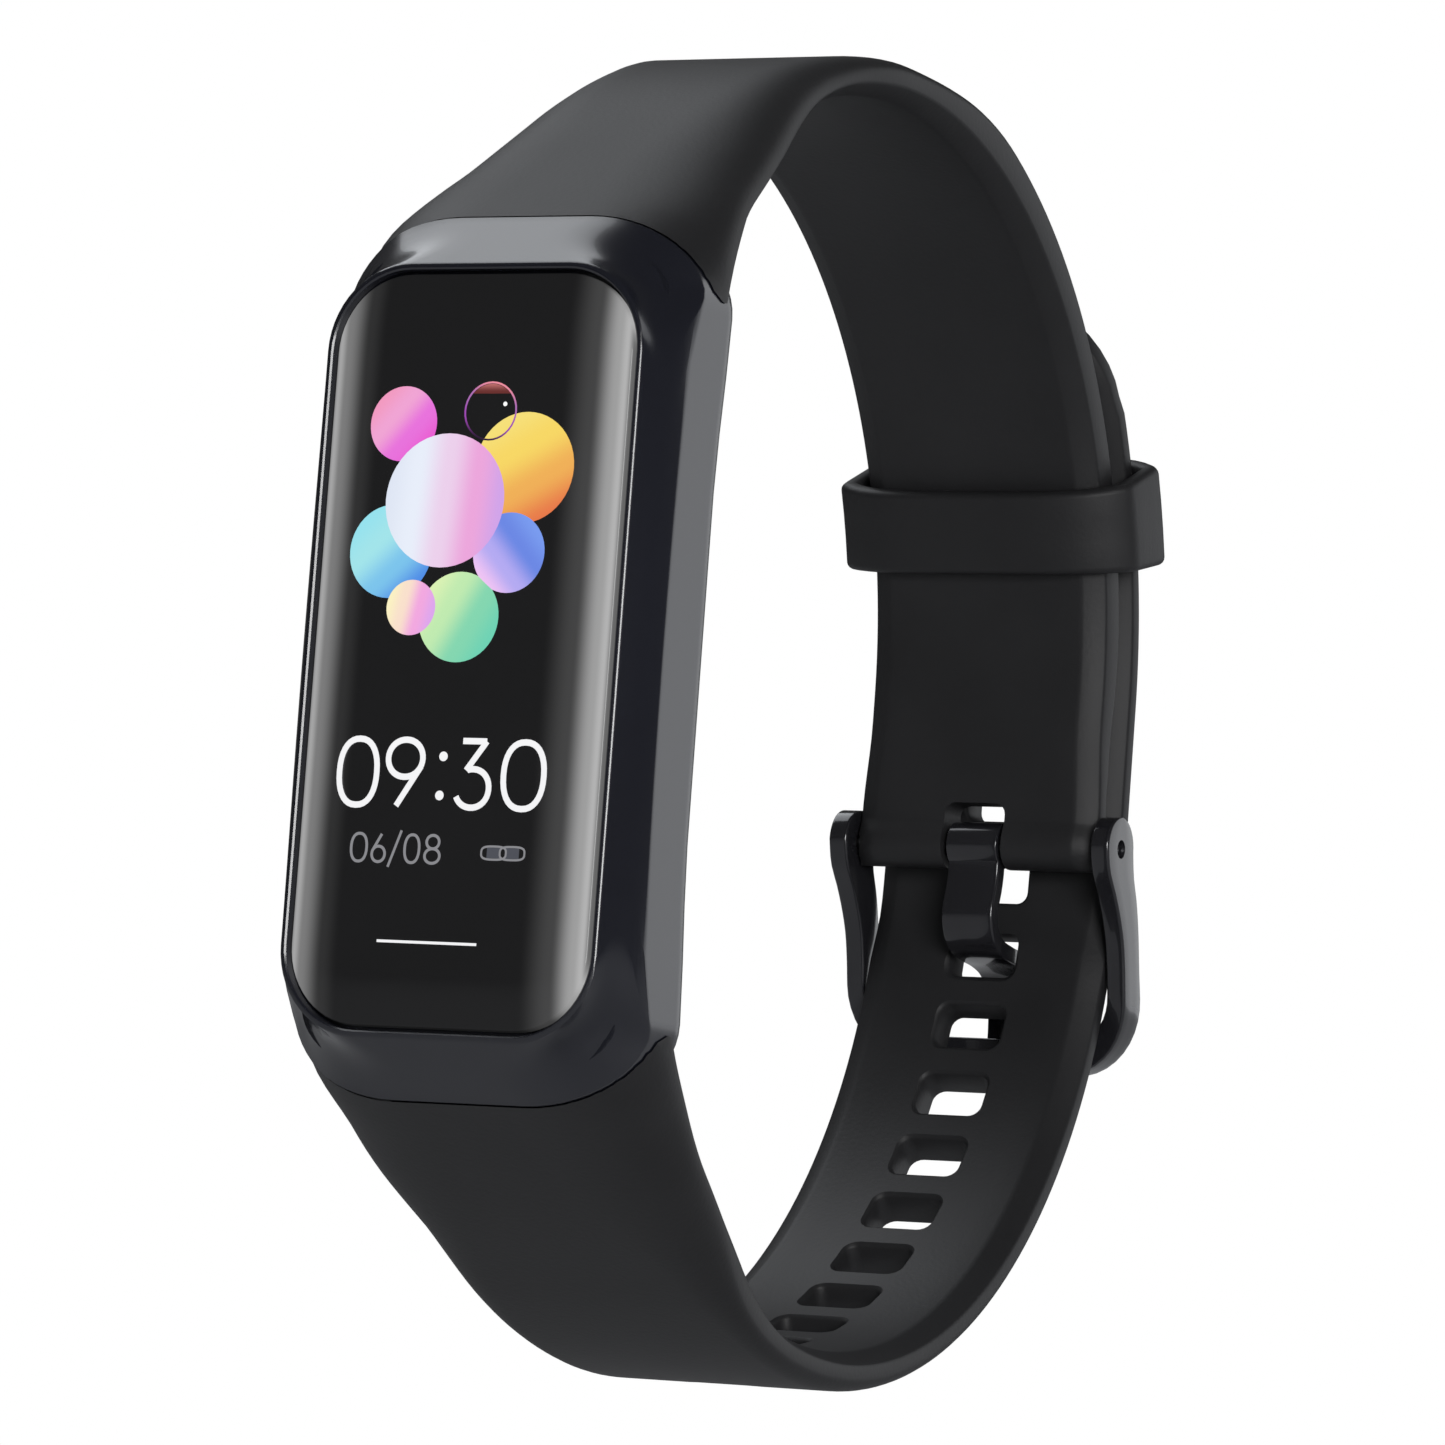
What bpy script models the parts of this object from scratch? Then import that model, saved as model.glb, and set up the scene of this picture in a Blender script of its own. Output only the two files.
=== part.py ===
"""Fitness tracker band, closed and buckled.

Frame: the origin is the middle of the flat sensor window that rests on the wrist.  X runs along
the wrist, Y from the display (negative) towards the buckle (positive), and Z up along the display.
All lengths are in metres.
"""

import math

import bmesh
import bpy
from mathutils import Matrix, Vector

NAME = "fitness_tracker_band"

# ---- Clearances -------------------------------------------------------------------------------
GAP = 0.0003            # between two pieces that touch on the real object
PIN_GAP = 0.0001        # round a spring bar's small pins and springs

# ---- Case: depths are measured back from the plane of the glass rim ------------------------------
CASE_DEPTH = 0.0110     # glass rim to wrist face
CASE_HALF_W = 0.0097
CASE_HALF_L = 0.0212
RIM_HALF_W = 0.0085
RIM_HALF_L = 0.01845
RIM_CORNER = 0.0042
END_CORNER_W = 0.0062   # the case's outline has elliptical corners
END_CORNER_L = 0.0044
SIDE_FRONT = 0.0022     # depth where the flat side begins
SEAM_DEPTH = 0.0031     # depth of the seam between case and strap
SEAM_STEP = 0.0005      # the strap's edge stops this far behind it
SIDE_BACK = 0.0061      # depth where the housing ends and the back cover begins
EAR_BACK = 0.0079       # depth of the lug ears
WALL = 0.0012
LEDGE = 0.0010          # width of the ledge that carries the glass
LEDGE_THICK = 0.0010
GLASS_CROWN = 0.0003    # glass above the rim
GLASS_THICK = 0.0009
GASKET_THICK = 0.0003
PANEL_THICK = 0.0009
SEAL_THICK = 0.0006

# ---- Back cover and sensor -----------------------------------------------------------------------
ISLAND_HALF_W = 0.0058
ISLAND_HALF_L = 0.0080
WINDOW_HALF_W = 0.0042
WINDOW_HALF_L = 0.0058
WINDOW_PROUD = 0.0004
ISLAND_RISE = 0.0014        # the island stands this far out of the cover's plate
COVER_WALL = 0.0009
CONTACT_R = 0.0011
CONTACT_Z = -0.0116
CONTACT_SPACING = 0.0056

# ---- Electronics ---------------------------------------------------------------------------------
BATTERY_HALF_L = 0.0088
BATTERY_THICK = 0.0026
BATTERY_Z = 0.0005
BOARD_THICK = 0.0007
SHIELD_HALF_W = 0.0052
SHIELD_HALF_L = 0.0026
SHIELD_HEIGHT = 0.0014
SHIELD_SHEET = 0.0002
FLEX_THICK = 0.00015
FLEX_HALF_W = 0.0035
MOTOR_R = 0.0036
MOTOR_WALL = 0.0003
MOTOR_LENGTH = BATTERY_THICK - 0.0004   # with its cap it is as deep as the battery
MOTOR_SHAFT_R = 0.0004

# ---- Strap ---------------------------------------------------------------------------------------
STRAP_THICK = 0.0020
STRAP_HALF_W = 0.00685
STRAP_ROOT_THICK = 0.0044   # at the case
STRAP_CROWN = 0.0005        # how far the outer face falls away to its edges
STRAP_ROOT_CROWN = 0.0030
TAPER_LENGTH = 0.0270
ROOT_LENGTH = 0.0120
CROWN_LENGTH = 0.0240
CROWN_FLAT = 0.41           # share of the half width that stays flat
CHAMFER_W = 0.0012
CHAMFER_H = 0.00065
UPPER_RADIUS = 0.0288       # outer face, round the wrist
ARC_AHEAD = 0.0093          # the upper arc, carried on, would reach this far ahead of the wrist face
UPPER_CENTRE = (UPPER_RADIUS - ARC_AHEAD, 0.0051)
LOWER_RADIUS = 0.0300
LOWER_CENTRE_Z = 0.0035     # below the origin
TAIL_TURN = math.radians(43.5)
TAIL_SPLIT = math.radians(27.0)
SECTION_STEP = 0.0030
SWELL = 0.0008              # the upper strap is this much thicker where the lower one lies on it
SWELL_LENGTH = 0.0120       # over which the swelling comes and goes
ROOT_OVERLAP = 0.0030       # the strap is drawn this far inside the case's end, then cut to fit

# ---- Holes in the lower strap --------------------------------------------------------------------
HOLE_HALF_W = 0.00190
HOLE_HALF_L = 0.00125
HOLE_CORNER = 0.0006
HOLE_PITCH = 0.0045
HOLES_TOWARDS_CASE = 8
HOLES_TOWARDS_TIP = 3

# ---- Buckle --------------------------------------------------------------------------------------
BAR_Z = -0.0029
ROLL_OVER = 0.0003          # the rolled end is this much thicker than half the strap
NOTCH_OVER = 0.0010         # the tongue's notch reaches this far above the roll
TONGUE_DROP = 0.0058        # bar down to the hole that the tongue goes through
FRAME_REACH = 0.0108        # bar down to the crossbar
LEG_THICK = 0.0011
LEG_GAP = 0.00035           # strap edge to leg
KNOB_R = 0.0017
CROSSBAR_HALF = 0.0009
FRAME_CORNER = 0.0038
TONGUE_HALF_W = 0.00155
TONGUE_THICK = 0.0009
TONGUE_BARREL_R = 0.00125

# ---- Spring bars ---------------------------------------------------------------------------------
BARREL_R = 0.00065
PIN_R = 0.00032
PIN_LENGTH_IN = 0.0018      # length of pin that stays in the barrel
PIN_HOLE_R = 0.00052
LUG_BAR_DEPTH = 0.0064
LUG_BAR_Z = 0.0194
LUG_HALF_W = 0.0056
LUG_BOTTOM = 0.0178         # inner end of the strap's lug
SPRING_WIRE_R = 0.00006
SPRING_TURNS = 6

# ---- Keeper --------------------------------------------------------------------------------------
KEEPER_WALL = 0.0012        # at the sides
KEEPER_LOOSE = 0.0006       # strap edge to keeper
KEEPER_FACE = 0.0009        # over and under the straps
KEEPER_ANGLE = math.radians(19.2)   # above the arc's level line
KEEPER_HALF_H = 0.0025
KEEPER_CORNER = 0.0018

CORNER_STEPS = 6
ROUND_STEPS = 16

# ---- Worked out from the sizes above ---------------------------------------------------------------
FRONT_Y = -CASE_DEPTH
SEAM = (FRONT_Y + SEAM_DEPTH, CASE_HALF_L)
UPPER_REAR_Y = UPPER_CENTRE[0] + UPPER_RADIUS
BAR_Y = UPPER_REAR_Y - STRAP_THICK / 2
ROLL_R = STRAP_THICK / 2 + ROLL_OVER
LOWER_REAR_Y = UPPER_REAR_Y + SWELL + GAP + STRAP_THICK
TAIL_RADIUS = LOWER_REAR_Y - UPPER_CENTRE[0]
LOWER_CENTRE = (LOWER_REAR_Y - LOWER_RADIUS, LOWER_CENTRE_Z)
LEG_INNER = STRAP_HALF_W + LEG_GAP
LEG_OUTER = LEG_INNER + LEG_THICK
ROLL_BORE_R = BARREL_R + PIN_GAP
LEDGE_FRONT = GLASS_THICK - GLASS_CROWN + GASKET_THICK + 2 * GAP
CAVITY_HALF_W = CASE_HALF_W - WALL
CAVITY_HALF_L = LUG_BOTTOM - GAP - 0.0008
COVER_HALF_L = LUG_BOTTOM - GAP

parts = None
cutters = None


# ---- Scene, materials and objects ----------------------------------------------------------------

def clear_scene():
    for obj in list(bpy.data.objects):
        bpy.data.objects.remove(obj, do_unlink=True)


def new_collection(name):
    collection = bpy.data.collections.new(name)
    bpy.context.scene.collection.children.link(collection)
    return collection


def material(name, colour, roughness, metallic=0.0):
    found = bpy.data.materials.get(name)
    if found:
        return found
    made = bpy.data.materials.new(name)
    made.use_nodes = True
    shader = made.node_tree.nodes["Principled BSDF"]
    shader.inputs["Base Color"].default_value = (*colour, 1.0)
    shader.inputs["Roughness"].default_value = roughness
    shader.inputs["Metallic"].default_value = metallic
    return made


def strap_rubber():
    return material("strap_rubber", (0.022, 0.022, 0.024), 0.55)


def housing_paint():
    return material("housing_paint", (0.018, 0.022, 0.035), 0.18, 0.6)


def cover_plastic():
    return material("cover_plastic", (0.02, 0.02, 0.022), 0.4)


def black_steel():
    return material("black_steel", (0.03, 0.03, 0.035), 0.3, 0.9)


def bright_steel():
    return material("bright_steel", (0.6, 0.6, 0.62), 0.25, 1.0)


def finish_object(obj, look, collection=None):
    obj.data.materials.clear()
    obj.data.materials.append(look)
    for owner in list(obj.users_collection):
        owner.objects.unlink(obj)
    (collection or parts).objects.link(obj)
    return obj


def as_cutter(obj):
    finish_object(obj, material("cutter", (1.0, 0.2, 0.2), 0.5), cutters)
    obj.hide_render = True
    obj.display_type = "WIRE"
    return obj


def from_bmesh(name, mesh_edit, look):
    bmesh.ops.recalc_face_normals(mesh_edit, faces=mesh_edit.faces[:])
    mesh = bpy.data.meshes.new(name)
    mesh_edit.to_mesh(mesh)
    mesh_edit.free()
    mesh.shade_smooth()
    mesh.set_sharp_from_angle(angle=math.radians(35))
    obj = bpy.data.objects.new(name, mesh)
    parts.objects.link(obj)
    return finish_object(obj, look)


def boolean(obj, tool, operation="DIFFERENCE"):
    modifier = obj.modifiers.new(tool.name, "BOOLEAN")
    modifier.operation = operation
    modifier.object = tool
    modifier.solver = "EXACT"
    return obj


def loft(name, rings, look, ring_shut=False):
    """Skin the rings in order.  ring_shut joins the last ring to the first, as in a frame."""
    edit = bmesh.new()
    rows = [[edit.verts.new(point) for point in ring] for ring in rings]
    pairs = list(zip(rows, rows[1:]))
    if ring_shut:
        pairs.append((rows[-1], rows[0]))
    for near, far in pairs:
        count = len(near)
        for i in range(count):
            j = (i + 1) % count
            edit.faces.new((near[i], near[j], far[j], far[i]))
    if not ring_shut:
        edit.faces.new(rows[0])
        edit.faces.new(rows[-1])
    return from_bmesh(name, edit, look)


def box(name, centre, half, look, bevel=0.0):
    edit = bmesh.new()
    bmesh.ops.create_cube(edit, size=2.0)
    bmesh.ops.scale(edit, vec=half, verts=edit.verts)
    bmesh.ops.translate(edit, vec=centre, verts=edit.verts)
    obj = from_bmesh(name, edit, look)
    if bevel:
        rounding = obj.modifiers.new("rounding", "BEVEL")
        rounding.width = bevel
        rounding.segments = 2
    return obj


def rod(name, start, end, radius, look, steps=ROUND_STEPS):
    """A solid cylinder between two points."""
    start = Vector(start)
    end = Vector(end)
    edit = bmesh.new()
    bmesh.ops.create_cone(
        edit, cap_ends=True, segments=steps, radius1=radius, radius2=radius, depth=(end - start).length
    )
    turn = Vector((0, 0, 1)).rotation_difference(end - start).to_matrix().to_4x4()
    bmesh.ops.transform(edit, matrix=Matrix.Translation((start + end) / 2) @ turn, verts=edit.verts)
    return from_bmesh(name, edit, look)


def plate(name, outline_2d, half, look):
    """A flat outline in (Y, Z), given half a thickness along X, as a welded mesh."""
    curve = bpy.data.curves.new(name, "CURVE")
    curve.dimensions = "2D"
    curve.fill_mode = "BOTH"
    curve.extrude = half
    spline = curve.splines.new("POLY")
    spline.points.add(len(outline_2d) - 1)
    for point, (y, z) in zip(spline.points, outline_2d):
        point.co = (y, z, 0.0, 1.0)
    spline.use_cyclic_u = True
    guide = bpy.data.objects.new(name + "_outline", curve)
    parts.objects.link(guide)
    stand = Matrix(((0, 0, 1, 0), (1, 0, 0, 0), (0, 1, 0, 0), (0, 0, 0, 1)))
    guide.matrix_world = stand
    bpy.context.view_layer.update()
    graph = bpy.context.evaluated_depsgraph_get()
    mesh = bpy.data.meshes.new_from_object(guide.evaluated_get(graph))
    edit = bmesh.new()
    edit.from_mesh(mesh)
    bmesh.ops.remove_doubles(edit, verts=edit.verts, dist=1e-6)
    bmesh.ops.transform(edit, matrix=stand, verts=edit.verts)
    bpy.data.objects.remove(guide)
    return from_bmesh(name, edit, look)


def outline(half_w, half_l, corner_w, corner_l, depth, middle_z=0.0):
    """A rounded rectangle in X and Z at one depth behind the rim."""
    points = []
    for quarter, (side, end) in enumerate(((1, 1), (-1, 1), (-1, -1), (1, -1))):
        for step in range(CORNER_STEPS + 1):
            angle = math.radians(90 * quarter + 90 * step / CORNER_STEPS)
            x = side * (half_w - corner_w) + corner_w * math.cos(angle)
            z = end * (half_l - corner_l) + corner_l * math.sin(angle)
            points.append((x, FRONT_Y + depth, middle_z + z))
    return points


def ease(share):
    """1 at share 0, falling smoothly to 0 at share 1."""
    return 0.5 + 0.5 * math.cos(math.pi * min(max(share, 0.0), 1.0))


def bezier(first, second, third, last, steps):
    points = []
    for i in range(steps + 1):
        t = i / steps
        weights = ((1 - t) ** 3, 3 * t * (1 - t) ** 2, 3 * t * t * (1 - t), t ** 3)
        places = (first, second, third, last)
        points.append(tuple(sum(w * p[k] for w, p in zip(weights, places)) for k in (0, 1)))
    return points


# ---- Strap paths: the middle of the outer face, in (Y, Z) ------------------------------------------

def tangent_lead(centre, radius):
    """Heading and length of the straight line from the seam that touches the arc."""
    across = centre[0] - SEAM[0]
    rise = centre[1] - SEAM[1]
    reach = math.hypot(across, rise)
    heading = math.atan2(rise, across) + math.asin(radius / reach)
    return heading, math.sqrt(reach ** 2 - radius ** 2)


def upper_path():
    heading, lead = tangent_lead(UPPER_CENTRE, UPPER_RADIUS)
    arc = UPPER_RADIUS * (heading + math.pi / 2)
    drop = UPPER_CENTRE[1] - BAR_Z
    return {"heading": heading, "side": 1, "segments": [(lead, 0), (arc, UPPER_RADIUS), (drop, 0)]}


def lower_path():
    """Worked out above the origin, then turned below it by side."""
    heading, lead = tangent_lead(LOWER_CENTRE, LOWER_RADIUS)
    arc = LOWER_RADIUS * (heading + math.pi / 2)
    rise = LOWER_CENTRE_Z + UPPER_CENTRE[1]
    tail = TAIL_RADIUS * TAIL_TURN
    segments = [(lead, 0), (arc, LOWER_RADIUS), (rise, 0), (tail, TAIL_RADIUS)]
    return {"heading": heading, "side": -1, "segments": segments}


def path_length(path):
    return sum(length for length, _ in path["segments"])


def crest(path):
    """Distance along the path to where it runs straight back."""
    lead, radius = path["segments"][0][0], path["segments"][1][1]
    return lead + radius * path["heading"]


def place_on(path, distance):
    """(point, outward normal) in (Y, Z) at a distance along the path."""
    y, z = SEAM
    heading = path["heading"]
    left = distance
    for index, (length, radius) in enumerate(path["segments"]):
        last = index == len(path["segments"]) - 1
        run = left if last or left < length else length
        if radius:
            turn = run / radius
            y += radius * (math.sin(heading) - math.sin(heading - turn))
            z += radius * (math.cos(heading - turn) - math.cos(heading))
            heading -= turn
        else:
            y += run * math.cos(heading)
            z += run * math.sin(heading)
        left -= run
        if left <= 0:
            break
    side = path["side"]
    return (y, z * side), (-math.sin(heading), math.cos(heading) * side)


def strap_half_width(path, distance, tip=False):
    half = STRAP_HALF_W + (CASE_HALF_W - STRAP_HALF_W) * ease(distance / TAPER_LENGTH)
    from_end = path_length(path) - distance
    if tip and from_end < STRAP_HALF_W:
        half = math.sqrt(max(STRAP_HALF_W ** 2 - (STRAP_HALF_W - from_end) ** 2, 0.0015 ** 2))
    return half


def strap_thickness(distance):
    return STRAP_THICK + (STRAP_ROOT_THICK - STRAP_THICK) * ease(distance / ROOT_LENGTH)


def upper_swell(path, distance):
    """Rises after the crest and dies away before the rolled end."""
    rise = 1 - ease((distance - crest(path)) / SWELL_LENGTH)
    die = 1 - ease((path_length(path) - distance) / SWELL_LENGTH)
    return SWELL * rise * die


def strap_section(path, distance, tip=False):
    (y, z), (ny, nz) = place_on(path, distance)
    half = strap_half_width(path, distance, tip)
    thick = strap_thickness(distance)
    if path["side"] > 0:
        swell = upper_swell(path, distance)
        y += swell * ny
        z += swell * nz
        thick += swell
    crown = STRAP_CROWN + (STRAP_ROOT_CROWN - STRAP_CROWN) * ease(distance / CROWN_LENGTH)
    shape = []
    for share in (-1.0, -0.85, -0.65, -CROWN_FLAT, CROWN_FLAT, 0.65, 0.85, 1.0):
        fall = max(0.0, (abs(share) - CROWN_FLAT) / (1 - CROWN_FLAT)) ** 2
        shape.append((share * half, crown * fall))
    bevel = min(CHAMFER_W, 0.4 * half)
    shape.append((half, thick - CHAMFER_H))
    shape.append((half - bevel, thick))
    shape.append((bevel - half, thick))
    shape.append((-half, thick - CHAMFER_H))
    return [(x, y - depth * ny, z - depth * nz) for x, depth in shape]


def strap_run(name, path, start, end, tip=False):
    count = max(2, math.ceil((end - start) / SECTION_STEP))
    stations = [start + (end - start) * i / count for i in range(count + 1)]
    if tip:
        total = path_length(path)
        rounded = [total - STRAP_HALF_W * (1 - math.sin(math.radians(a))) for a in range(0, 91, 15)]
        stations = [s for s in stations if s < rounded[0] - SECTION_STEP / 3] + rounded
    rings = [strap_section(path, distance, tip) for distance in stations]
    return loft(name, rings, strap_rubber())


def across_path(path, distance, depth=0.0):
    """(Y, Z) at a depth under the outer face."""
    (y, z), (ny, nz) = place_on(path, distance)
    return y - depth * ny, z - depth * nz


# ---- Case ----------------------------------------------------------------------------------------

def make_housing():
    look = housing_paint()
    opening = (RIM_HALF_W - GAP, RIM_HALF_L - GAP, RIM_CORNER - GAP, RIM_CORNER - GAP)
    ledge = (opening[0] - LEDGE, opening[1] - LEDGE, RIM_CORNER - LEDGE, RIM_CORNER - LEDGE)
    cavity = (CAVITY_HALF_W, CAVITY_HALF_L, 0.0020, 0.0020)
    full = (CASE_HALF_W, CASE_HALF_L, END_CORNER_W, END_CORNER_L)
    rings = [
        outline(*opening, 0.0),
        outline(*opening, LEDGE_FRONT),
        outline(*ledge, LEDGE_FRONT),
        outline(*ledge, LEDGE_FRONT + LEDGE_THICK),
        outline(*cavity, LEDGE_FRONT + LEDGE_THICK),
        outline(*cavity, EAR_BACK),
        outline(CASE_HALF_W - 0.0009, CASE_HALF_L - 0.0006, END_CORNER_W, END_CORNER_L, EAR_BACK),
        outline(*full, SIDE_BACK),
        outline(*full, SEAM_DEPTH + 0.0008),
        outline(CASE_HALF_W - 0.00005, CASE_HALF_L - 0.00005, 0.0068, 0.0058, SEAM_DEPTH),
        outline(CASE_HALF_W - 0.0002, CASE_HALF_L - 0.0008, 0.0066, 0.0068, SIDE_FRONT),
        outline(CASE_HALF_W - 0.0006, CASE_HALF_L - 0.0018, 0.0057, 0.0059, SIDE_FRONT / 2),
        outline(RIM_HALF_W, RIM_HALF_L, RIM_CORNER, RIM_CORNER, 0.0),
    ]
    housing = loft("housing", rings, look, ring_shut=True)
    back = FRONT_Y + EAR_BACK + WALL
    room = (back - (FRONT_Y + SIDE_BACK)) / 2
    relief = box("cut_cover_seat", (0, back - room, 0), (0.02, room, COVER_HALF_L), look)
    boolean(housing, as_cutter(relief))
    for word, end in (("upper", 1), ("lower", -1)):
        slot_front = lug_front() - GAP
        slot_half = (back - slot_front) / 2
        outer = CASE_HALF_L + WALL
        middle = end * (LUG_BOTTOM - GAP + outer) / 2
        half_z = (outer - LUG_BOTTOM + GAP) / 2
        slot = box(
            f"cut_{word}_slot", (0, back - slot_half, middle), (LUG_HALF_W + GAP, slot_half, half_z), look
        )
        boolean(housing, as_cutter(slot))
        y, z = lug_bar_place(end)
        reach = lug_pin_reach() + GAP
        hole = rod(f"cut_{word}_pin_holes", (-reach, y, z), (reach, y, z), PIN_HOLE_R, look)
        boolean(housing, as_cutter(hole))
    return housing


def lug_front():
    return FRONT_Y + LUG_BAR_DEPTH - BARREL_R - 0.0010


def lug_bar_place(end):
    return FRONT_Y + LUG_BAR_DEPTH, end * LUG_BAR_Z


def lug_pin_reach():
    return LUG_HALF_W + GAP + 0.0010


def make_glass_and_display():
    half_w = RIM_HALF_W - 2 * GAP
    half_l = RIM_HALF_L - 2 * GAP
    corner = RIM_CORNER - 2 * GAP
    back = GLASS_THICK - GLASS_CROWN
    rings = [
        outline(half_w - 0.0022, half_l - 0.0022, corner - 0.0016, corner - 0.0016, -GLASS_CROWN),
        outline(half_w - 0.0008, half_l - 0.0008, corner - 0.0006, corner - 0.0006, -GLASS_CROWN / 2),
        outline(half_w, half_l, corner, corner, GLASS_CROWN),
        outline(half_w, half_l, corner, corner, back),
    ]
    loft("cover_glass", rings, material("cover_glass", (0.01, 0.01, 0.012), 0.05))
    panel_w = RIM_HALF_W - 2 * GAP - LEDGE - GAP
    panel_l = RIM_HALF_L - 2 * GAP - LEDGE - GAP
    front = back + GAP
    ring_w = panel_w + GAP
    ring_l = panel_l + GAP
    rings = [
        outline(half_w, half_l, corner, corner, front),
        outline(half_w, half_l, corner, corner, front + GASKET_THICK),
        outline(ring_w, ring_l, corner - LEDGE, corner - LEDGE, front + GASKET_THICK),
        outline(ring_w, ring_l, corner - LEDGE, corner - LEDGE, front),
    ]
    loft("glass_gasket", rings, material("gasket_foam", (0.03, 0.03, 0.03), 0.9), ring_shut=True)
    corner = corner - LEDGE - GAP
    rings = [outline(panel_w, panel_l, corner, corner, d) for d in (front, front + PANEL_THICK)]
    loft("display_panel", rings, material("display_black", (0.01, 0.01, 0.01), 0.1))
    return front + PANEL_THICK


def make_inside(display_back):
    """The parts between the display and the back cover, front to back."""
    battery_front = LEDGE_FRONT + LEDGE_THICK + GAP
    battery_back = battery_front + BATTERY_THICK
    board_front = battery_back + GAP
    board_y = FRONT_Y + board_front + BOARD_THICK / 2
    room_w = CAVITY_HALF_W - GAP
    board_half = (room_w - 0.0007, BOARD_THICK / 2, CAVITY_HALF_L - 0.0012)
    box("main_board", (0, board_y, 0), board_half, material("board_green", (0.02, 0.10, 0.05), 0.5))
    battery_half = (room_w - 0.0010, BATTERY_THICK / 2, BATTERY_HALF_L)
    battery_y = FRONT_Y + (battery_front + battery_back) / 2
    foil = material("battery_foil", (0.55, 0.56, 0.58), 0.35, 0.7)
    box("battery", (0, battery_y, BATTERY_Z), battery_half, foil, bevel=0.0006)
    make_shield(battery_front, board_front)
    make_display_flex(display_back, board_front)
    make_motor(battery_front, board_front)
    return board_front + BOARD_THICK


def make_shield(front, board_front):
    """A pressed can over the radio and processor, open towards the board."""
    middle = BATTERY_Z + BATTERY_HALF_L + GAP + SHIELD_HALF_L
    back = board_front - GAP
    top = back - SHIELD_HEIGHT
    sheet = SHIELD_SHEET
    rings = [
        outline(SHIELD_HALF_W, SHIELD_HALF_L, 0.0004, 0.0004, top, middle),
        outline(SHIELD_HALF_W, SHIELD_HALF_L, 0.0004, 0.0004, back, middle),
        outline(SHIELD_HALF_W - sheet, SHIELD_HALF_L - sheet, 0.0002, 0.0002, back, middle),
        outline(SHIELD_HALF_W - sheet, SHIELD_HALF_L - sheet, 0.0002, 0.0002, top + sheet, middle),
    ]
    loft("shield_can", rings, bright_steel())


def make_display_flex(display_back, board_front):
    """A folded ribbon from the display's top end down to the board."""
    ribbon = FLEX_THICK
    top = CAVITY_HALF_L - GAP - ribbon
    low = top - 0.0030
    front = FRONT_Y + display_back + GAP
    back = FRONT_Y + board_front - GAP
    path = [(front, low), (front, top - 0.0008), (front + 0.0008, top)]
    path += [(back - 0.0005, top), (back, top - 0.0005), (back, top - 0.0010)]
    outer = offset_line(path, ribbon / 2)
    inner = offset_line(path, -ribbon / 2)
    shape = outer + inner[::-1]
    plate("display_flex", shape, FLEX_HALF_W, material("flex_amber", (0.45, 0.20, 0.04), 0.4))


def offset_line(points, distance):
    """The same open line moved sideways, with its corners mitred."""
    moved = []
    for index, (y, z) in enumerate(points):
        before = points[max(index - 1, 0)]
        after = points[min(index + 1, len(points) - 1)]
        run_in = Vector((y - before[0], z - before[1])) if index else None
        run_out = Vector((after[0] - y, after[1] - z)) if index < len(points) - 1 else None
        run_in = (run_in or run_out).normalized()
        run_out = (run_out or run_in).normalized()
        side = Vector((-(run_in.y + run_out.y), run_in.x + run_out.x)).normalized()
        length = distance / max(side.dot(Vector((-run_in.y, run_in.x))), 0.3)
        moved.append((y + side.x * length, z + side.y * length))
    return moved


def make_motor(front, board_front):
    """A coin motor: can, cap, fixed shaft and an off-centre rotor that spins on the shaft."""
    steel = bright_steel()
    z = BATTERY_Z - BATTERY_HALF_L - GAP - MOTOR_R
    start = FRONT_Y + front
    end = start + MOTOR_LENGTH
    can = rod("motor_can", (0, start, z), (0, end, z), MOTOR_R, steel, 24)
    inside = rod(
        "cut_motor_can", (0, start + MOTOR_WALL, z), (0, end + GAP, z), MOTOR_R - MOTOR_WALL, steel, 24
    )
    boolean(can, as_cutter(inside))
    cap_y = end + PIN_GAP
    rod("motor_cap", (0, cap_y, z), (0, cap_y + MOTOR_WALL, z), MOTOR_R, steel, 24)
    shaft_start = start + MOTOR_WALL + PIN_GAP
    shaft_end = end - PIN_GAP
    rod("motor_shaft", (0, shaft_start, z), (0, shaft_end, z), MOTOR_SHAFT_R, steel)
    tungsten = material("tungsten", (0.35, 0.34, 0.33), 0.4, 1.0)
    radius = MOTOR_R - MOTOR_WALL - GAP
    rotor_start = shaft_start + GAP
    rotor_end = shaft_end - GAP
    rotor = rod("motor_rotor", (0, rotor_start, z), (0, rotor_end, z), radius, tungsten, 24)
    bore = rod(
        "cut_rotor_bore", (0, start, z), (0, end, z), MOTOR_SHAFT_R + PIN_GAP, tungsten
    )
    boolean(rotor, as_cutter(bore))
    lighter = box(
        "cut_rotor_half",
        (0, (start + end) / 2, z + 0.0012 + radius),
        (MOTOR_R, MOTOR_LENGTH, radius),
        tungsten,
    )
    boolean(rotor, as_cutter(lighter))


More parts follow.
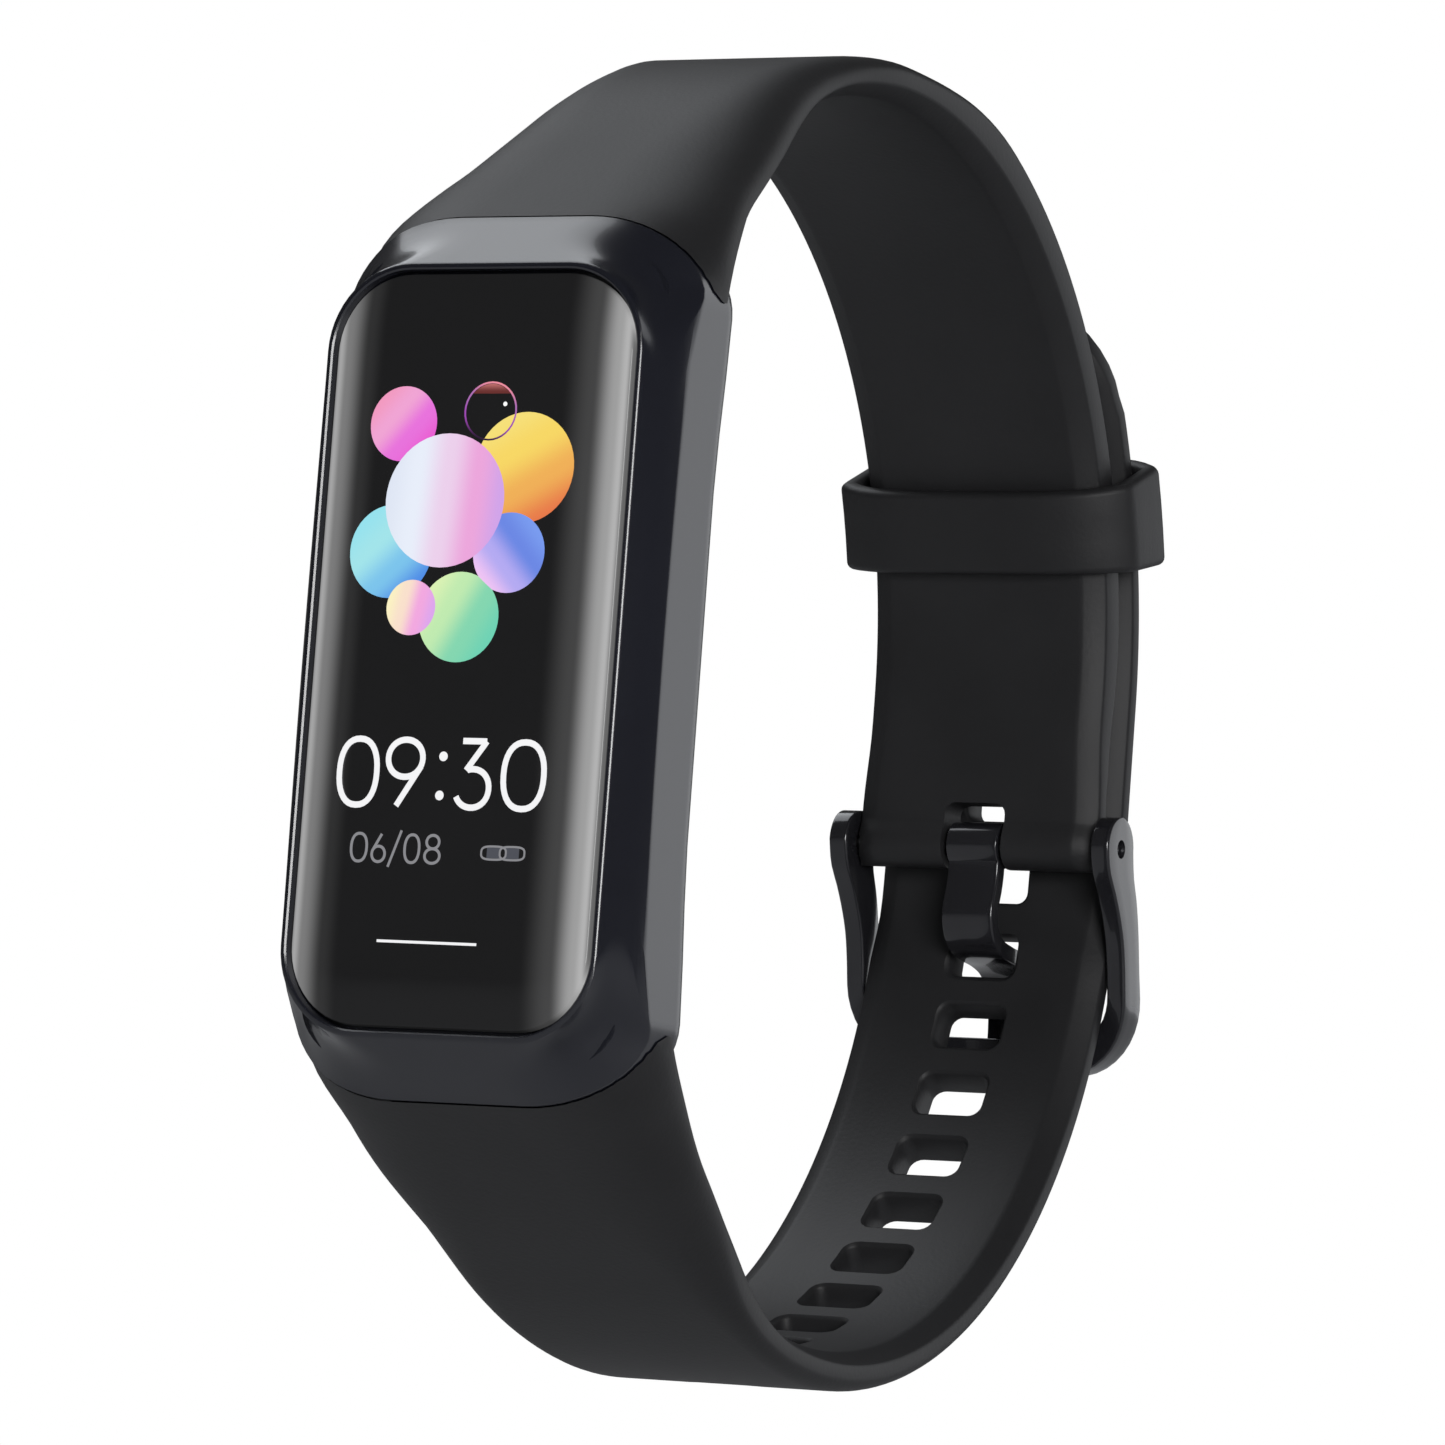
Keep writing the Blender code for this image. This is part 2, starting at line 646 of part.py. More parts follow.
def make_back_cover(board_back):
    """A shallow dish with a raised island for the sensor window."""
    base = SIDE_BACK + GAP
    plate_depth = CASE_DEPTH - ISLAND_RISE - WINDOW_PROUD
    island_depth = CASE_DEPTH - WINDOW_PROUD
    inner_plate = plate_depth - COVER_WALL
    inner_island = island_depth - 0.0010
    length = COVER_HALF_L - GAP
    shell = [
        outline(ISLAND_HALF_W - 0.0012, ISLAND_HALF_L - 0.0012, 0.0020, 0.0020, inner_island),
        outline(ISLAND_HALF_W - 0.0009, ISLAND_HALF_L - 0.0009, 0.0022, 0.0022, inner_plate),
        outline(CAVITY_HALF_W - 0.0018, length - 0.0028, 0.0028, 0.0028, inner_plate),
        outline(CAVITY_HALF_W - 0.0002, length - 0.0010, 0.0020, 0.0020, base),
        outline(CASE_HALF_W - 0.0002, length, 0.0010, 0.0010, base),
        outline(CASE_HALF_W - 0.0005, length - 0.0002, 0.0014, 0.0014, base + 0.0008),
        outline(CAVITY_HALF_W - 0.0008, length - 0.0018, 0.0030, 0.0030, plate_depth),
        outline(ISLAND_HALF_W + 0.0004, ISLAND_HALF_L + 0.0004, 0.0030, 0.0030, plate_depth),
        outline(ISLAND_HALF_W, ISLAND_HALF_L, 0.0028, 0.0028, island_depth),
    ]
    look = cover_plastic()
    cover = loft("back_cover", shell, look)
    recess = [
        outline(WINDOW_HALF_W + GAP, WINDOW_HALF_L + GAP, 0.0022, 0.0022, d)
        for d in (island_depth - 0.0005, CASE_DEPTH + GAP)
    ]
    boolean(cover, as_cutter(loft("cut_window_recess", recess, look)))
    through = [
        outline(WINDOW_HALF_W - 0.0007, WINDOW_HALF_L - 0.0007, 0.0018, 0.0018, d)
        for d in (inner_island - GAP, CASE_DEPTH + GAP)
    ]
    boolean(cover, as_cutter(loft("cut_window_hole", through, look)))
    window_back = island_depth - 0.0005 + GAP
    rings = [
        outline(WINDOW_HALF_W, WINDOW_HALF_L, 0.0019, 0.0019, window_back),
        outline(WINDOW_HALF_W, WINDOW_HALF_L, 0.0019, 0.0019, CASE_DEPTH - 0.0002),
        outline(WINDOW_HALF_W - 0.0003, WINDOW_HALF_L - 0.0003, 0.0017, 0.0017, CASE_DEPTH),
    ]
    loft("sensor_window", rings, material("sensor_window", (0.015, 0.015, 0.02), 0.08))
    make_contacts(cover, inner_plate, plate_depth)
    make_seal(base)
    make_optics(board_back, inner_island, window_back)
    return cover


def make_contacts(cover, inner, outer):
    """Two charging pads through the cover, each a pin with a wider foot inside."""
    gold = material("contact_gold", (0.75, 0.55, 0.22), 0.25, 1.0)
    for word, side in (("left", -1), ("right", 1)):
        x = side * CONTACT_SPACING / 2
        front = FRONT_Y + inner - GAP - 0.0004
        back = FRONT_Y + outer + 0.0001
        hole = rod(
            f"cut_contact_{word}",
            (x, front, CONTACT_Z),
            (x, back + GAP, CONTACT_Z),
            CONTACT_R + PIN_GAP,
            gold,
        )
        boolean(cover, as_cutter(hole))
        pad = rod(
            f"charging_contact_{word}", (x, front, CONTACT_Z), (x, back, CONTACT_Z), CONTACT_R, gold
        )
        foot = rod(
            f"join_contact_{word}",
            (x, front - 0.0003, CONTACT_Z),
            (x, front + 0.0004, CONTACT_Z),
            CONTACT_R + 0.0003,
            gold,
        )
        boolean(pad, as_cutter(foot), "UNION")


def make_seal(base):
    """A thin gasket just inside the joint between housing and back cover."""
    inner = base - SEAL_THICK - GAP
    outer_w = CAVITY_HALF_W - GAP
    outer_l = CAVITY_HALF_L - GAP
    rings = []
    for shrink, depth in ((0, inner), (0, base - GAP), (0.0003, base - GAP), (0.0003, inner)):
        rings.append(outline(outer_w - shrink, outer_l - shrink, 0.0017, 0.0017, depth))
    loft("back_cover_seal", rings, material("seal_rubber", (0.25, 0.06, 0.05), 0.8), ring_shut=True)


def make_optics(board_back, inner_island, window_back):
    """Sensor board with two lamps either side of a light detector."""
    front = board_back + GAP
    thick = 0.0004
    half = (WINDOW_HALF_W - 0.0009, thick / 2, WINDOW_HALF_L - 0.0009)
    top = inner_island - 0.0006
    y = FRONT_Y + top - thick / 2
    if top - thick < front:
        y = FRONT_Y + front + thick / 2
    box("optical_board", (0, y, 0), half, material("board_black", (0.02, 0.02, 0.03), 0.5))
    chip_y = y + thick / 2 + GAP / 2 + 0.00025
    lamp = material("lamp_green", (0.1, 0.6, 0.25), 0.3)
    for word, side in (("upper", 1), ("lower", -1)):
        box(f"sensor_lamp_{word}", (0, chip_y, side * 0.0030), (0.0008, 0.0002, 0.0008), lamp)
    sensor = material("detector", (0.03, 0.03, 0.10), 0.2)
    box("light_detector", (0, chip_y, 0), (0.0014, 0.0002, 0.0013), sensor)


# ---- Spring bars ---------------------------------------------------------------------------------

def make_spring_bar(prefix, y, z, barrel_half, pin_tip):
    """A tube with a sprung pin at each end, lying along X."""
    steel = bright_steel()
    bore_r = PIN_R + PIN_GAP
    barrel = rod(f"{prefix}_barrel", (-barrel_half, y, z), (barrel_half, y, z), BARREL_R, steel)
    through = barrel_half + GAP
    bore = rod(f"cut_{prefix}_bore", (-through, y, z), (through, y, z), bore_r, steel)
    boolean(barrel, as_cutter(bore))
    pin_root = barrel_half - PIN_LENGTH_IN
    for word, side in (("left", -1), ("right", 1)):
        start = (side * pin_root, y, z)
        end = (side * pin_tip, y, z)
        pin = rod(f"{prefix}_pin_{word}", start, end, PIN_R, steel)
        pin.data.transform(Matrix.Translation((-side * pin_root, -y, -z)))
        pin.location = start
    make_spring(f"{prefix}_spring", y, z, pin_root - GAP)


def make_spring(name, y, z, half):
    """An open coil between the two pins."""
    radius = PIN_R - SPRING_WIRE_R
    steps = SPRING_TURNS * 8
    curve = bpy.data.curves.new(name, "CURVE")
    curve.dimensions = "3D"
    curve.bevel_depth = SPRING_WIRE_R
    curve.bevel_resolution = 0
    curve.use_fill_caps = True
    spline = curve.splines.new("POLY")
    spline.points.add(steps)
    for i in range(steps + 1):
        angle = 2 * math.pi * SPRING_TURNS * i / steps
        x = -half + 2 * half * i / steps
        spline.points[i].co = (x, y + radius * math.cos(angle), z + radius * math.sin(angle), 1.0)
    spring = bpy.data.objects.new(name, curve)
    parts.objects.link(spring)
    finish_object(spring, bright_steel())


# ---- Straps --------------------------------------------------------------------------------------

def make_upper_strap():
    path = upper_path()
    middle = crest(path)
    front = strap_run("upper_strap_front", path, -ROOT_OVERLAP, middle - GAP / 2)
    add_lug(front, "upper", 1)
    end = path_length(path)
    rear = strap_run("upper_strap_rear", path, middle + GAP / 2, end)
    look = strap_rubber()
    roll = rod("join_roll", (-STRAP_HALF_W, BAR_Y, BAR_Z), (STRAP_HALF_W, BAR_Y, BAR_Z), ROLL_R, look)
    boolean(rear, as_cutter(roll), "UNION")
    wide = STRAP_HALF_W + GAP
    bore = rod("cut_roll_bore", (-wide, BAR_Y, BAR_Z), (wide, BAR_Y, BAR_Z), ROLL_BORE_R, look)
    boolean(rear, as_cutter(bore))
    notch_half = TONGUE_HALF_W + GAP
    notch_top = BAR_Z + ROLL_R + NOTCH_OVER
    notch_low = BAR_Z - ROLL_R - GAP
    notch = box(
        "cut_tongue_notch",
        (0, BAR_Y, (notch_top + notch_low) / 2),
        (notch_half, 3 * ROLL_R, (notch_top - notch_low) / 2),
        look,
        bevel=0.0004,
    )
    boolean(rear, as_cutter(notch))


def add_lug(strap, word, end):
    """Fit the strap round the case's end, and give it the lug that the spring bar holds."""
    look = strap_rubber()
    rings = [
        outline(CASE_HALF_W + GAP, CASE_HALF_L + GAP, END_CORNER_W + GAP, END_CORNER_L + GAP, d)
        for d in (-WALL, CASE_DEPTH + 0.01)
    ]
    boolean(strap, as_cutter(loft(f"cut_{word}_case_end", rings, look)))
    ahead_y = SEAM[0] + SEAM_STEP - CASE_DEPTH
    ahead = box(f"cut_{word}_ahead", (0, ahead_y, 0), (0.02, CASE_DEPTH, 0.04), look)
    boolean(strap, as_cutter(ahead))
    front = lug_front()
    back = 2 * (FRONT_Y + LUG_BAR_DEPTH) - front
    top = CASE_HALF_L + 2 * GAP
    lug = box(
        f"join_{word}_lug",
        (0, (front + back) / 2, end * (LUG_BOTTOM + top) / 2),
        (LUG_HALF_W, (back - front) / 2, (top - LUG_BOTTOM) / 2),
        look,
    )
    boolean(strap, as_cutter(lug), "UNION")
    y, z = lug_bar_place(end)
    wide = LUG_HALF_W + GAP
    bore = rod(f"cut_{word}_lug_bore", (-wide, y, z), (wide, y, z), BARREL_R + PIN_GAP, look)
    boolean(strap, as_cutter(bore))


def hole_distance(path, index):
    """Distance along the lower strap to a hole; hole 0 holds the tongue."""
    lead, arc = path["segments"][0][0], path["segments"][1][0]
    below = math.asin((TONGUE_DROP - BAR_Z - LOWER_CENTRE_Z) / LOWER_RADIUS)
    return lead + arc - LOWER_RADIUS * below - index * HOLE_PITCH


def make_hole_cutter(path):
    """All the strap's holes as one group of rounded blocks."""
    edit = bmesh.new()
    for index in range(-HOLES_TOWARDS_TIP, HOLES_TOWARDS_CASE + 1):
        (y, z), (ny, nz) = place_on(path, hole_distance(path, index))
        ring = []
        for quarter, (side, end) in enumerate(((1, 1), (-1, 1), (-1, -1), (1, -1))):
            for step in range(3):
                angle = math.radians(90 * quarter + 45 * step)
                across = side * (HOLE_HALF_W - HOLE_CORNER) + HOLE_CORNER * math.cos(angle)
                along = end * (HOLE_HALF_L - HOLE_CORNER) + HOLE_CORNER * math.sin(angle)
                ring.append((across, along))
        faces = []
        for depth in (-0.001, STRAP_THICK + 0.001):
            faces.append(
                [
                    edit.verts.new((x, y - depth * ny - a * nz, z - depth * nz + a * ny))
                    for x, a in ring
                ]
            )
        count = len(ring)
        for i in range(count):
            j = (i + 1) % count
            edit.faces.new((faces[0][i], faces[0][j], faces[1][j], faces[1][i]))
        edit.faces.new(faces[0])
        edit.faces.new(faces[1])
    return as_cutter(from_bmesh("cut_strap_holes", edit, strap_rubber()))


def make_lower_strap():
    path = lower_path()
    middle = crest(path)
    front = strap_run("lower_strap_front", path, -ROOT_OVERLAP, middle - GAP / 2)
    add_lug(front, "lower", -1)
    split = path_length(path) - TAIL_RADIUS * (TAIL_TURN - TAIL_SPLIT)
    rear = strap_run("lower_strap_rear", path, middle + GAP / 2, split - GAP / 2)
    boolean(rear, make_hole_cutter(path))
    strap_run("lower_strap_tip", path, split + GAP / 2, path_length(path), tip=True)


# ---- Keeper and buckle -----------------------------------------------------------------------------

def keeper_ring(half_w, inner_r, outer_r, corner, angle):
    """A rounded rectangle across the strap, at an angle round the upper arc's centre."""
    middle = (inner_r + outer_r) / 2
    half = (outer_r - inner_r) / 2
    points = []
    for quarter, (side, end) in enumerate(((1, 1), (-1, 1), (-1, -1), (1, -1))):
        for step in range(4):
            turn = math.radians(90 * quarter + 30 * step)
            x = side * (half_w - corner) + corner * math.cos(turn)
            radius = middle + end * (half - corner) + corner * math.sin(turn)
            y = UPPER_CENTRE[0] + radius * math.cos(angle)
            z = UPPER_CENTRE[1] + radius * math.sin(angle)
            points.append((x, y, z))
    return points


def make_keeper():
    room_in = UPPER_RADIUS - STRAP_THICK - GAP
    room_out = TAIL_RADIUS + GAP
    half = STRAP_HALF_W + KEEPER_LOOSE
    spread = KEEPER_HALF_H / UPPER_RADIUS
    angles = [KEEPER_ANGLE + spread * share for share in (-1.0, -0.33, 0.33, 1.0)]
    wall = KEEPER_WALL
    face = KEEPER_FACE
    outer = [keeper_ring(half + wall, room_in - face, room_out + face, KEEPER_CORNER, a) for a in angles]
    inner = [keeper_ring(half, room_in, room_out, KEEPER_CORNER / 2, a) for a in reversed(angles)]
    loft("keeper_loop", outer + inner, strap_rubber(), ring_shut=True)


def crossbar_place():
    z = BAR_Z - FRAME_REACH
    under = -z - LOWER_CENTRE_Z - CROSSBAR_HALF
    strap_out = LOWER_CENTRE[0] + math.sqrt(LOWER_RADIUS ** 2 - under ** 2)
    return strap_out + GAP + CROSSBAR_HALF, z


def make_frame():
    """Two curved legs and a crossbar: the side profile, cut to the front view's U shape."""
    bar_y, bar_z = crossbar_place()
    low = bar_z - CROSSBAR_HALF
    knob = []
    for step in range(13):
        angle = math.radians(200 - 200 * step / 12)
        knob.append((BAR_Y + KNOB_R * math.cos(angle), BAR_Z + KNOB_R * math.sin(angle)))
    outside = bezier(
        knob[-1],
        (knob[-1][0] + 0.0002, knob[-1][1] - 0.0027),
        (bar_y + CROSSBAR_HALF - 0.0002, bar_z + 0.0052),
        (bar_y + CROSSBAR_HALF, low + 0.0006),
        8,
    )
    foot = [(bar_y + CROSSBAR_HALF - 0.0006, low), (bar_y - CROSSBAR_HALF + 0.0006, low)]
    inside = bezier(
        (bar_y - CROSSBAR_HALF, low + 0.0006),
        (bar_y - CROSSBAR_HALF - 0.0002, bar_z + 0.0058),
        (knob[0][0] + 0.0009, knob[0][1] - 0.0019),
        knob[0],
        8,
    )
    look = black_steel()
    frame = plate("buckle_frame", knob + outside[1:] + foot + inside[:-1], LEG_OUTER, look)
    top = BAR_Z + KNOB_R + GAP
    window_low = bar_z + CROSSBAR_HALF
    window = frame_block("cut_frame_window", LEG_INNER, window_low, top, FRAME_CORNER - LEG_THICK)
    boolean(frame, as_cutter(window))
    keep = frame_block("keep_frame_outline", LEG_OUTER, low, top, FRAME_CORNER)
    boolean(frame, as_cutter(keep), "INTERSECT")
    wide = LEG_OUTER + GAP
    holes = rod("cut_frame_holes", (-wide, BAR_Y, BAR_Z), (wide, BAR_Y, BAR_Z), PIN_HOLE_R, look)
    boolean(frame, as_cutter(holes))


def frame_block(name, half_w, low, top, corner):
    """A block in the front view with its two lower corners rounded."""
    front = BAR_Y - 0.006
    back = BAR_Y + 0.010
    shape = [(half_w, top), (-half_w, top)]
    for quarter, side in ((2, -1), (3, 1)):
        for step in range(6):
            angle = math.radians(90 * quarter + 18 * step)
            x = side * (half_w - corner) + corner * math.cos(angle)
            shape.append((x, low + corner + corner * math.sin(angle)))
    rings = [[(x, y, z) for x, z in shape] for y in (front, back)]
    return loft(name, rings, black_steel())


def tongue_line():
    """The tongue's middle line: down from the bar, out through the hole and onto the crossbar."""
    bar_y, bar_z = crossbar_place()
    hole_y, hole_z = across_path(lower_path(), hole_distance(lower_path(), 0), STRAP_THICK / 2)
    rest_y = bar_y + CROSSBAR_HALF + GAP + TONGUE_THICK / 2
    start = (BAR_Y - 0.0007, BAR_Z - 0.0007)
    hump = (BAR_Y - 0.0005, (BAR_Z + hole_z) / 2 - 0.0003)
    first = bezier(start, (start[0], start[1] - 0.0009), (hump[0] - 0.0004, hump[1] + 0.0009), hump, 4)
    second = bezier(hump, (hump[0] + 0.0004, hump[1] - 0.0010), (hole_y - 0.0016, hole_z + 0.0006),
                    (hole_y, hole_z), 5)
    third = bezier((hole_y, hole_z), (hole_y + 0.0016, hole_z - 0.0006), (rest_y, hole_z - 0.0008),
                   (rest_y, bar_z + 0.0006), 6)
    return first + second[1:] + third[1:] + [(rest_y - 0.0001, bar_z - 0.0008)]


def make_tongue():
    line = tongue_line()
    shape = offset_line(line, TONGUE_THICK / 2) + offset_line(line, -TONGUE_THICK / 2)[::-1]
    look = black_steel()
    tongue = plate("buckle_tongue", shape, TONGUE_HALF_W, look)
    half = TONGUE_HALF_W
    barrel = rod("join_tongue_barrel", (-half, BAR_Y, BAR_Z), (half, BAR_Y, BAR_Z), TONGUE_BARREL_R, look)
    boolean(tongue, as_cutter(barrel), "UNION")
    wide = half + GAP
    bore = rod("cut_tongue_bore", (-wide, BAR_Y, BAR_Z), (wide, BAR_Y, BAR_Z), ROLL_BORE_R, look)
    boolean(tongue, as_cutter(bore))


def build():
    global parts, cutters
    clear_scene()
    parts = new_collection(NAME)
    cutters = new_collection("cutters")
    make_housing()
    display_back = make_glass_and_display()
    board_back = make_inside(display_back)
    make_back_cover(board_back)
    for word, end in (("upper", 1), ("lower", -1)):
        y, z = lug_bar_place(end)
        make_spring_bar(f"{word}_lug_bar", y, z, LUG_HALF_W - GAP, lug_pin_reach())
    make_upper_strap()
    make_lower_strap()
    make_keeper()
    make_frame()
    make_tongue()
    make_spring_bar("buckle_bar", BAR_Y, BAR_Z, STRAP_HALF_W - GAP, LEG_OUTER - GAP)


build()
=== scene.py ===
# %% [markdown]
# # Fitness tracker band
# A slim tracker, closed on its buckle. Its moving CAD model is loaded as a frame, and each piece
# made here, except the straps, rides on one of that model's bodies. Lengths are in metres; the
# display faces -Y.

# %% Load the frame
import math

import bmesh
import bpy
from mathutils import Matrix, Vector


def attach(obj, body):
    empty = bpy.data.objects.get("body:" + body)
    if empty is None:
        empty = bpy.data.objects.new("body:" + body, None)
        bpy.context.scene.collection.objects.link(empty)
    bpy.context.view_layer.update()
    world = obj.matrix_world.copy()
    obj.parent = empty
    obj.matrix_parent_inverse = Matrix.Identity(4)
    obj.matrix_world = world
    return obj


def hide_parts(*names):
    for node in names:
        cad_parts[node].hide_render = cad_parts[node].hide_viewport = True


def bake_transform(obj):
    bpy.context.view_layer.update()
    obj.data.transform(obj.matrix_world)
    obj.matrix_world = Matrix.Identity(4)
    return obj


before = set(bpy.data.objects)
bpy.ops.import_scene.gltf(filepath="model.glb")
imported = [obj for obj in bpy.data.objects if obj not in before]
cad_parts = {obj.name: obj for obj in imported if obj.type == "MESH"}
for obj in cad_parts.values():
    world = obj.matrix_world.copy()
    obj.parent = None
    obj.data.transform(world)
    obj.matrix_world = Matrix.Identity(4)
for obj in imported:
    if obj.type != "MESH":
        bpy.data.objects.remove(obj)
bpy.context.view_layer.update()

mm = 0.001

# %% [markdown]
# Every moulded piece here is a skin over a row of rings: a circle is added, set to the first
# outline, and extruded once for each outline after it, as one would do by hand with E and S.
# The rings carry the shape, so each piece below is mostly a rule for its outline.

# %% Skin over rings
def fresh_neighbour(vert, old):
    """The vertex that the last extrusion made from this one."""
    others = (edge.other_vert(vert) for edge in vert.link_edges)
    return next(other.index for other in others if other.select and other.index not in old)

def skin(name, rings, loop=False):
    count = len(rings[0])
    bpy.ops.object.select_all(action="DESELECT")
    bpy.ops.mesh.primitive_circle_add(vertices=count, radius=mm)
    piece = bpy.context.object
    piece.name = name
    bpy.ops.object.mode_set(mode="EDIT")
    bpy.ops.mesh.select_all(action="SELECT")
    bm = bmesh.from_edit_mesh(piece.data)
    bm.verts.ensure_lookup_table()
    order = list(range(count))
    for i in order:
        bm.verts[i].co = rings[0][i]
    for ring in rings[1:]:
        bpy.ops.mesh.extrude_region_move()
        bm = bmesh.from_edit_mesh(piece.data)
        bm.verts.ensure_lookup_table()
        order = [fresh_neighbour(bm.verts[i], set(order)) for i in order]
        for i, point in zip(order, ring):
            bm.verts[i].co = point
    bmesh.update_edit_mesh(piece.data)
    bpy.ops.mesh.select_mode(type="EDGE")
    bpy.ops.mesh.select_all(action="DESELECT")
    bpy.ops.mesh.select_non_manifold(extend=False)
    if loop:
        bpy.ops.mesh.bridge_edge_loops()
    else:
        bpy.ops.mesh.edge_face_add()
        fill_ends(piece, count, order)
    bpy.ops.mesh.select_mode(type="VERT")
    bpy.ops.mesh.select_all(action="SELECT")
    bpy.ops.mesh.normals_make_consistent(inside=False)
    bpy.ops.object.mode_set(mode="OBJECT")
    return piece

# %% Close a skin's two ends
def fill_ends(piece, count, last):
    bm = bmesh.from_edit_mesh(piece.data)
    bm.verts.ensure_lookup_table()
    for group in (list(range(count)), list(last)):
        verts = [bm.verts[i] for i in group]
        if bm.faces.get(verts) is None:
            bm.faces.new(verts)
    bmesh.update_edit_mesh(piece.data)

# %% Finishing helpers
def pick(piece):
    bpy.ops.object.select_all(action="DESELECT")
    piece.select_set(True)
    bpy.context.view_layer.objects.active = piece

def smooth(piece, degrees):
    pick(piece)
    bpy.ops.object.shade_smooth_by_angle(angle=math.radians(degrees))
    return piece

def dress(piece, look):
    piece.data.materials.clear()
    piece.data.materials.append(look)

def apply_all(piece):
    pick(piece)
    for modifier in list(piece.modifiers):
        bpy.ops.object.modifier_apply(modifier=modifier.name)

def carve(piece, tool, operation="DIFFERENCE"):
    modifier = piece.modifiers.new("carve", "BOOLEAN")
    modifier.operation = operation
    modifier.solver = "EXACT"
    modifier.object = tool
    apply_all(piece)
    bpy.data.objects.remove(tool)
    return piece

def soften(piece, width, segments, degrees=40):
    modifier = piece.modifiers.new("soften", "BEVEL")
    modifier.width = width
    modifier.segments = segments
    modifier.limit_method = "ANGLE"
    modifier.angle_limit = math.radians(degrees)
    apply_all(piece)
    return piece

# %% Blocks and rods with rounded edges
def block(name, low, high, edge=0.0, segments=0):
    bpy.ops.object.select_all(action="DESELECT")
    middle = [(a + b) / 2 for a, b in zip(low, high)]
    bpy.ops.mesh.primitive_cube_add(size=1, location=middle)
    piece = bpy.context.object
    piece.name = name
    piece.scale = [b - a for a, b in zip(low, high)]
    bpy.ops.object.transform_apply(location=True, rotation=True, scale=True)
    return soften(piece, edge, segments) if edge else piece

def rod(name, x0, x1, y, z, radius, edge=0.0, sides=48):
    bpy.ops.object.select_all(action="DESELECT")
    bpy.ops.mesh.primitive_cylinder_add(
        vertices=sides, radius=radius, depth=abs(x1 - x0),
        location=((x0 + x1) / 2, y, z), rotation=(0, math.pi / 2, 0))
    piece = bpy.context.object
    piece.name = name
    bpy.ops.object.transform_apply(location=True, rotation=True, scale=True)
    return soften(piece, edge, 3, 50) if edge else piece

# %% [markdown]
# The finishes: silicone-like strap rubber with a fine grain, soft gloss black on the case, satin
# black plastic behind, and a glossy dark finish on the buckle. Each one has a faint noise in its
# colour and its roughness, and the grained ones in their surface too, at the scale of the real
# thing, so that light never lies dead flat.

# %% Finish maker
def finish(name, colour, roughness, metallic=0.0, coat=0.0, grain=0.0, grain_scale=4000.0,
           mottle=0.0, mottle_scale=150.0, specular=0.5):
    made = bpy.data.materials.new(name)
    made.use_nodes = True
    tree = made.node_tree
    shader = tree.nodes["Principled BSDF"]
    shader.inputs["Metallic"].default_value = metallic
    shader.inputs["Coat Weight"].default_value = coat
    shader.inputs["Coat Roughness"].default_value = 0.04
    shader.inputs["Specular IOR Level"].default_value = specular
    where = tree.nodes.new("ShaderNodeTexCoord")
    cloud = tree.nodes.new("ShaderNodeTexNoise")
    cloud.inputs["Scale"].default_value = mottle_scale
    cloud.inputs["Detail"].default_value = 4.0
    tree.links.new(where.outputs["Object"], cloud.inputs["Vector"])
    tint = tree.nodes.new("ShaderNodeValToRGB")
    tint.color_ramp.elements[0].position = 0.3
    tint.color_ramp.elements[1].position = 0.7
    tint.color_ramp.elements[0].color = (*[c * (1 - mottle) for c in colour], 1)
    tint.color_ramp.elements[1].color = (*[c * (1 + mottle) for c in colour], 1)
    tree.links.new(cloud.outputs["Fac"], tint.inputs["Fac"])
    tree.links.new(tint.outputs["Color"], shader.inputs["Base Color"])
    sheen = tree.nodes.new("ShaderNodeMapRange")
    sheen.inputs["To Min"].default_value = roughness * (1 - 0.5 * mottle)
    sheen.inputs["To Max"].default_value = roughness * (1 + 0.5 * mottle)
    tree.links.new(cloud.outputs["Fac"], sheen.inputs["Value"])
    tree.links.new(sheen.outputs["Result"], shader.inputs["Roughness"])
    if grain:
        fine = tree.nodes.new("ShaderNodeTexNoise")
        fine.inputs["Scale"].default_value = grain_scale
        fine.inputs["Detail"].default_value = 2.0
        bump = tree.nodes.new("ShaderNodeBump")
        bump.inputs["Strength"].default_value = grain
        bump.inputs["Distance"].default_value = 0.00004
        tree.links.new(where.outputs["Object"], fine.inputs["Vector"])
        tree.links.new(fine.outputs["Fac"], bump.inputs["Height"])
        tree.links.new(bump.outputs["Normal"], shader.inputs["Normal"])
    return made

strap_rubber = finish("strap_rubber", (0.021, 0.021, 0.0225), 0.52, grain=0.25, mottle=0.10,
                      specular=0.34)
case_gloss = finish("case_gloss", (0.010, 0.011, 0.018), 0.24, coat=0.2, mottle=0.10,
                    mottle_scale=60, specular=0.8)
cover_satin = finish("cover_satin", (0.018, 0.018, 0.020), 0.35, grain=0.3, mottle=0.1)
buckle_gloss = finish("buckle_gloss", (0.022, 0.022, 0.026), 0.20, metallic=0.2, coat=0.6,
                      mottle=0.1)
window_gloss = finish("window_gloss", (0.008, 0.008, 0.012), 0.06, coat=1.0, mottle=0.1)
pin_steel = finish("pin_steel", (0.45, 0.45, 0.47), 0.28, metallic=1.0, grain=0.3, mottle=0.12)
contact_gold = finish("contact_gold", (0.75, 0.52, 0.20), 0.25, metallic=1.0, grain=0.2,
                      mottle=0.1)
print(len(bpy.data.materials), "materials so far")

# %% [markdown]
# The case is one gloss moulding. Seen from the front it is a tall rounded rectangle, and from the
# rim round the glass it slopes back to a crease, beyond which its sides are flat. The crease
# runs deeper towards the four corners, so each ring's depth is a rule of its own place.

# %% Sizes of the case
CASE_DEPTH = 11.0
HALF_W, HALF_L = 9.7, 21.2
RIM_W, RIM_L, RIM_CORNER = 8.5, 18.45, 4.2
END_W, END_L = 6.2, 4.4
SIDE_BACK, EAR_BACK = 6.1, 7.9

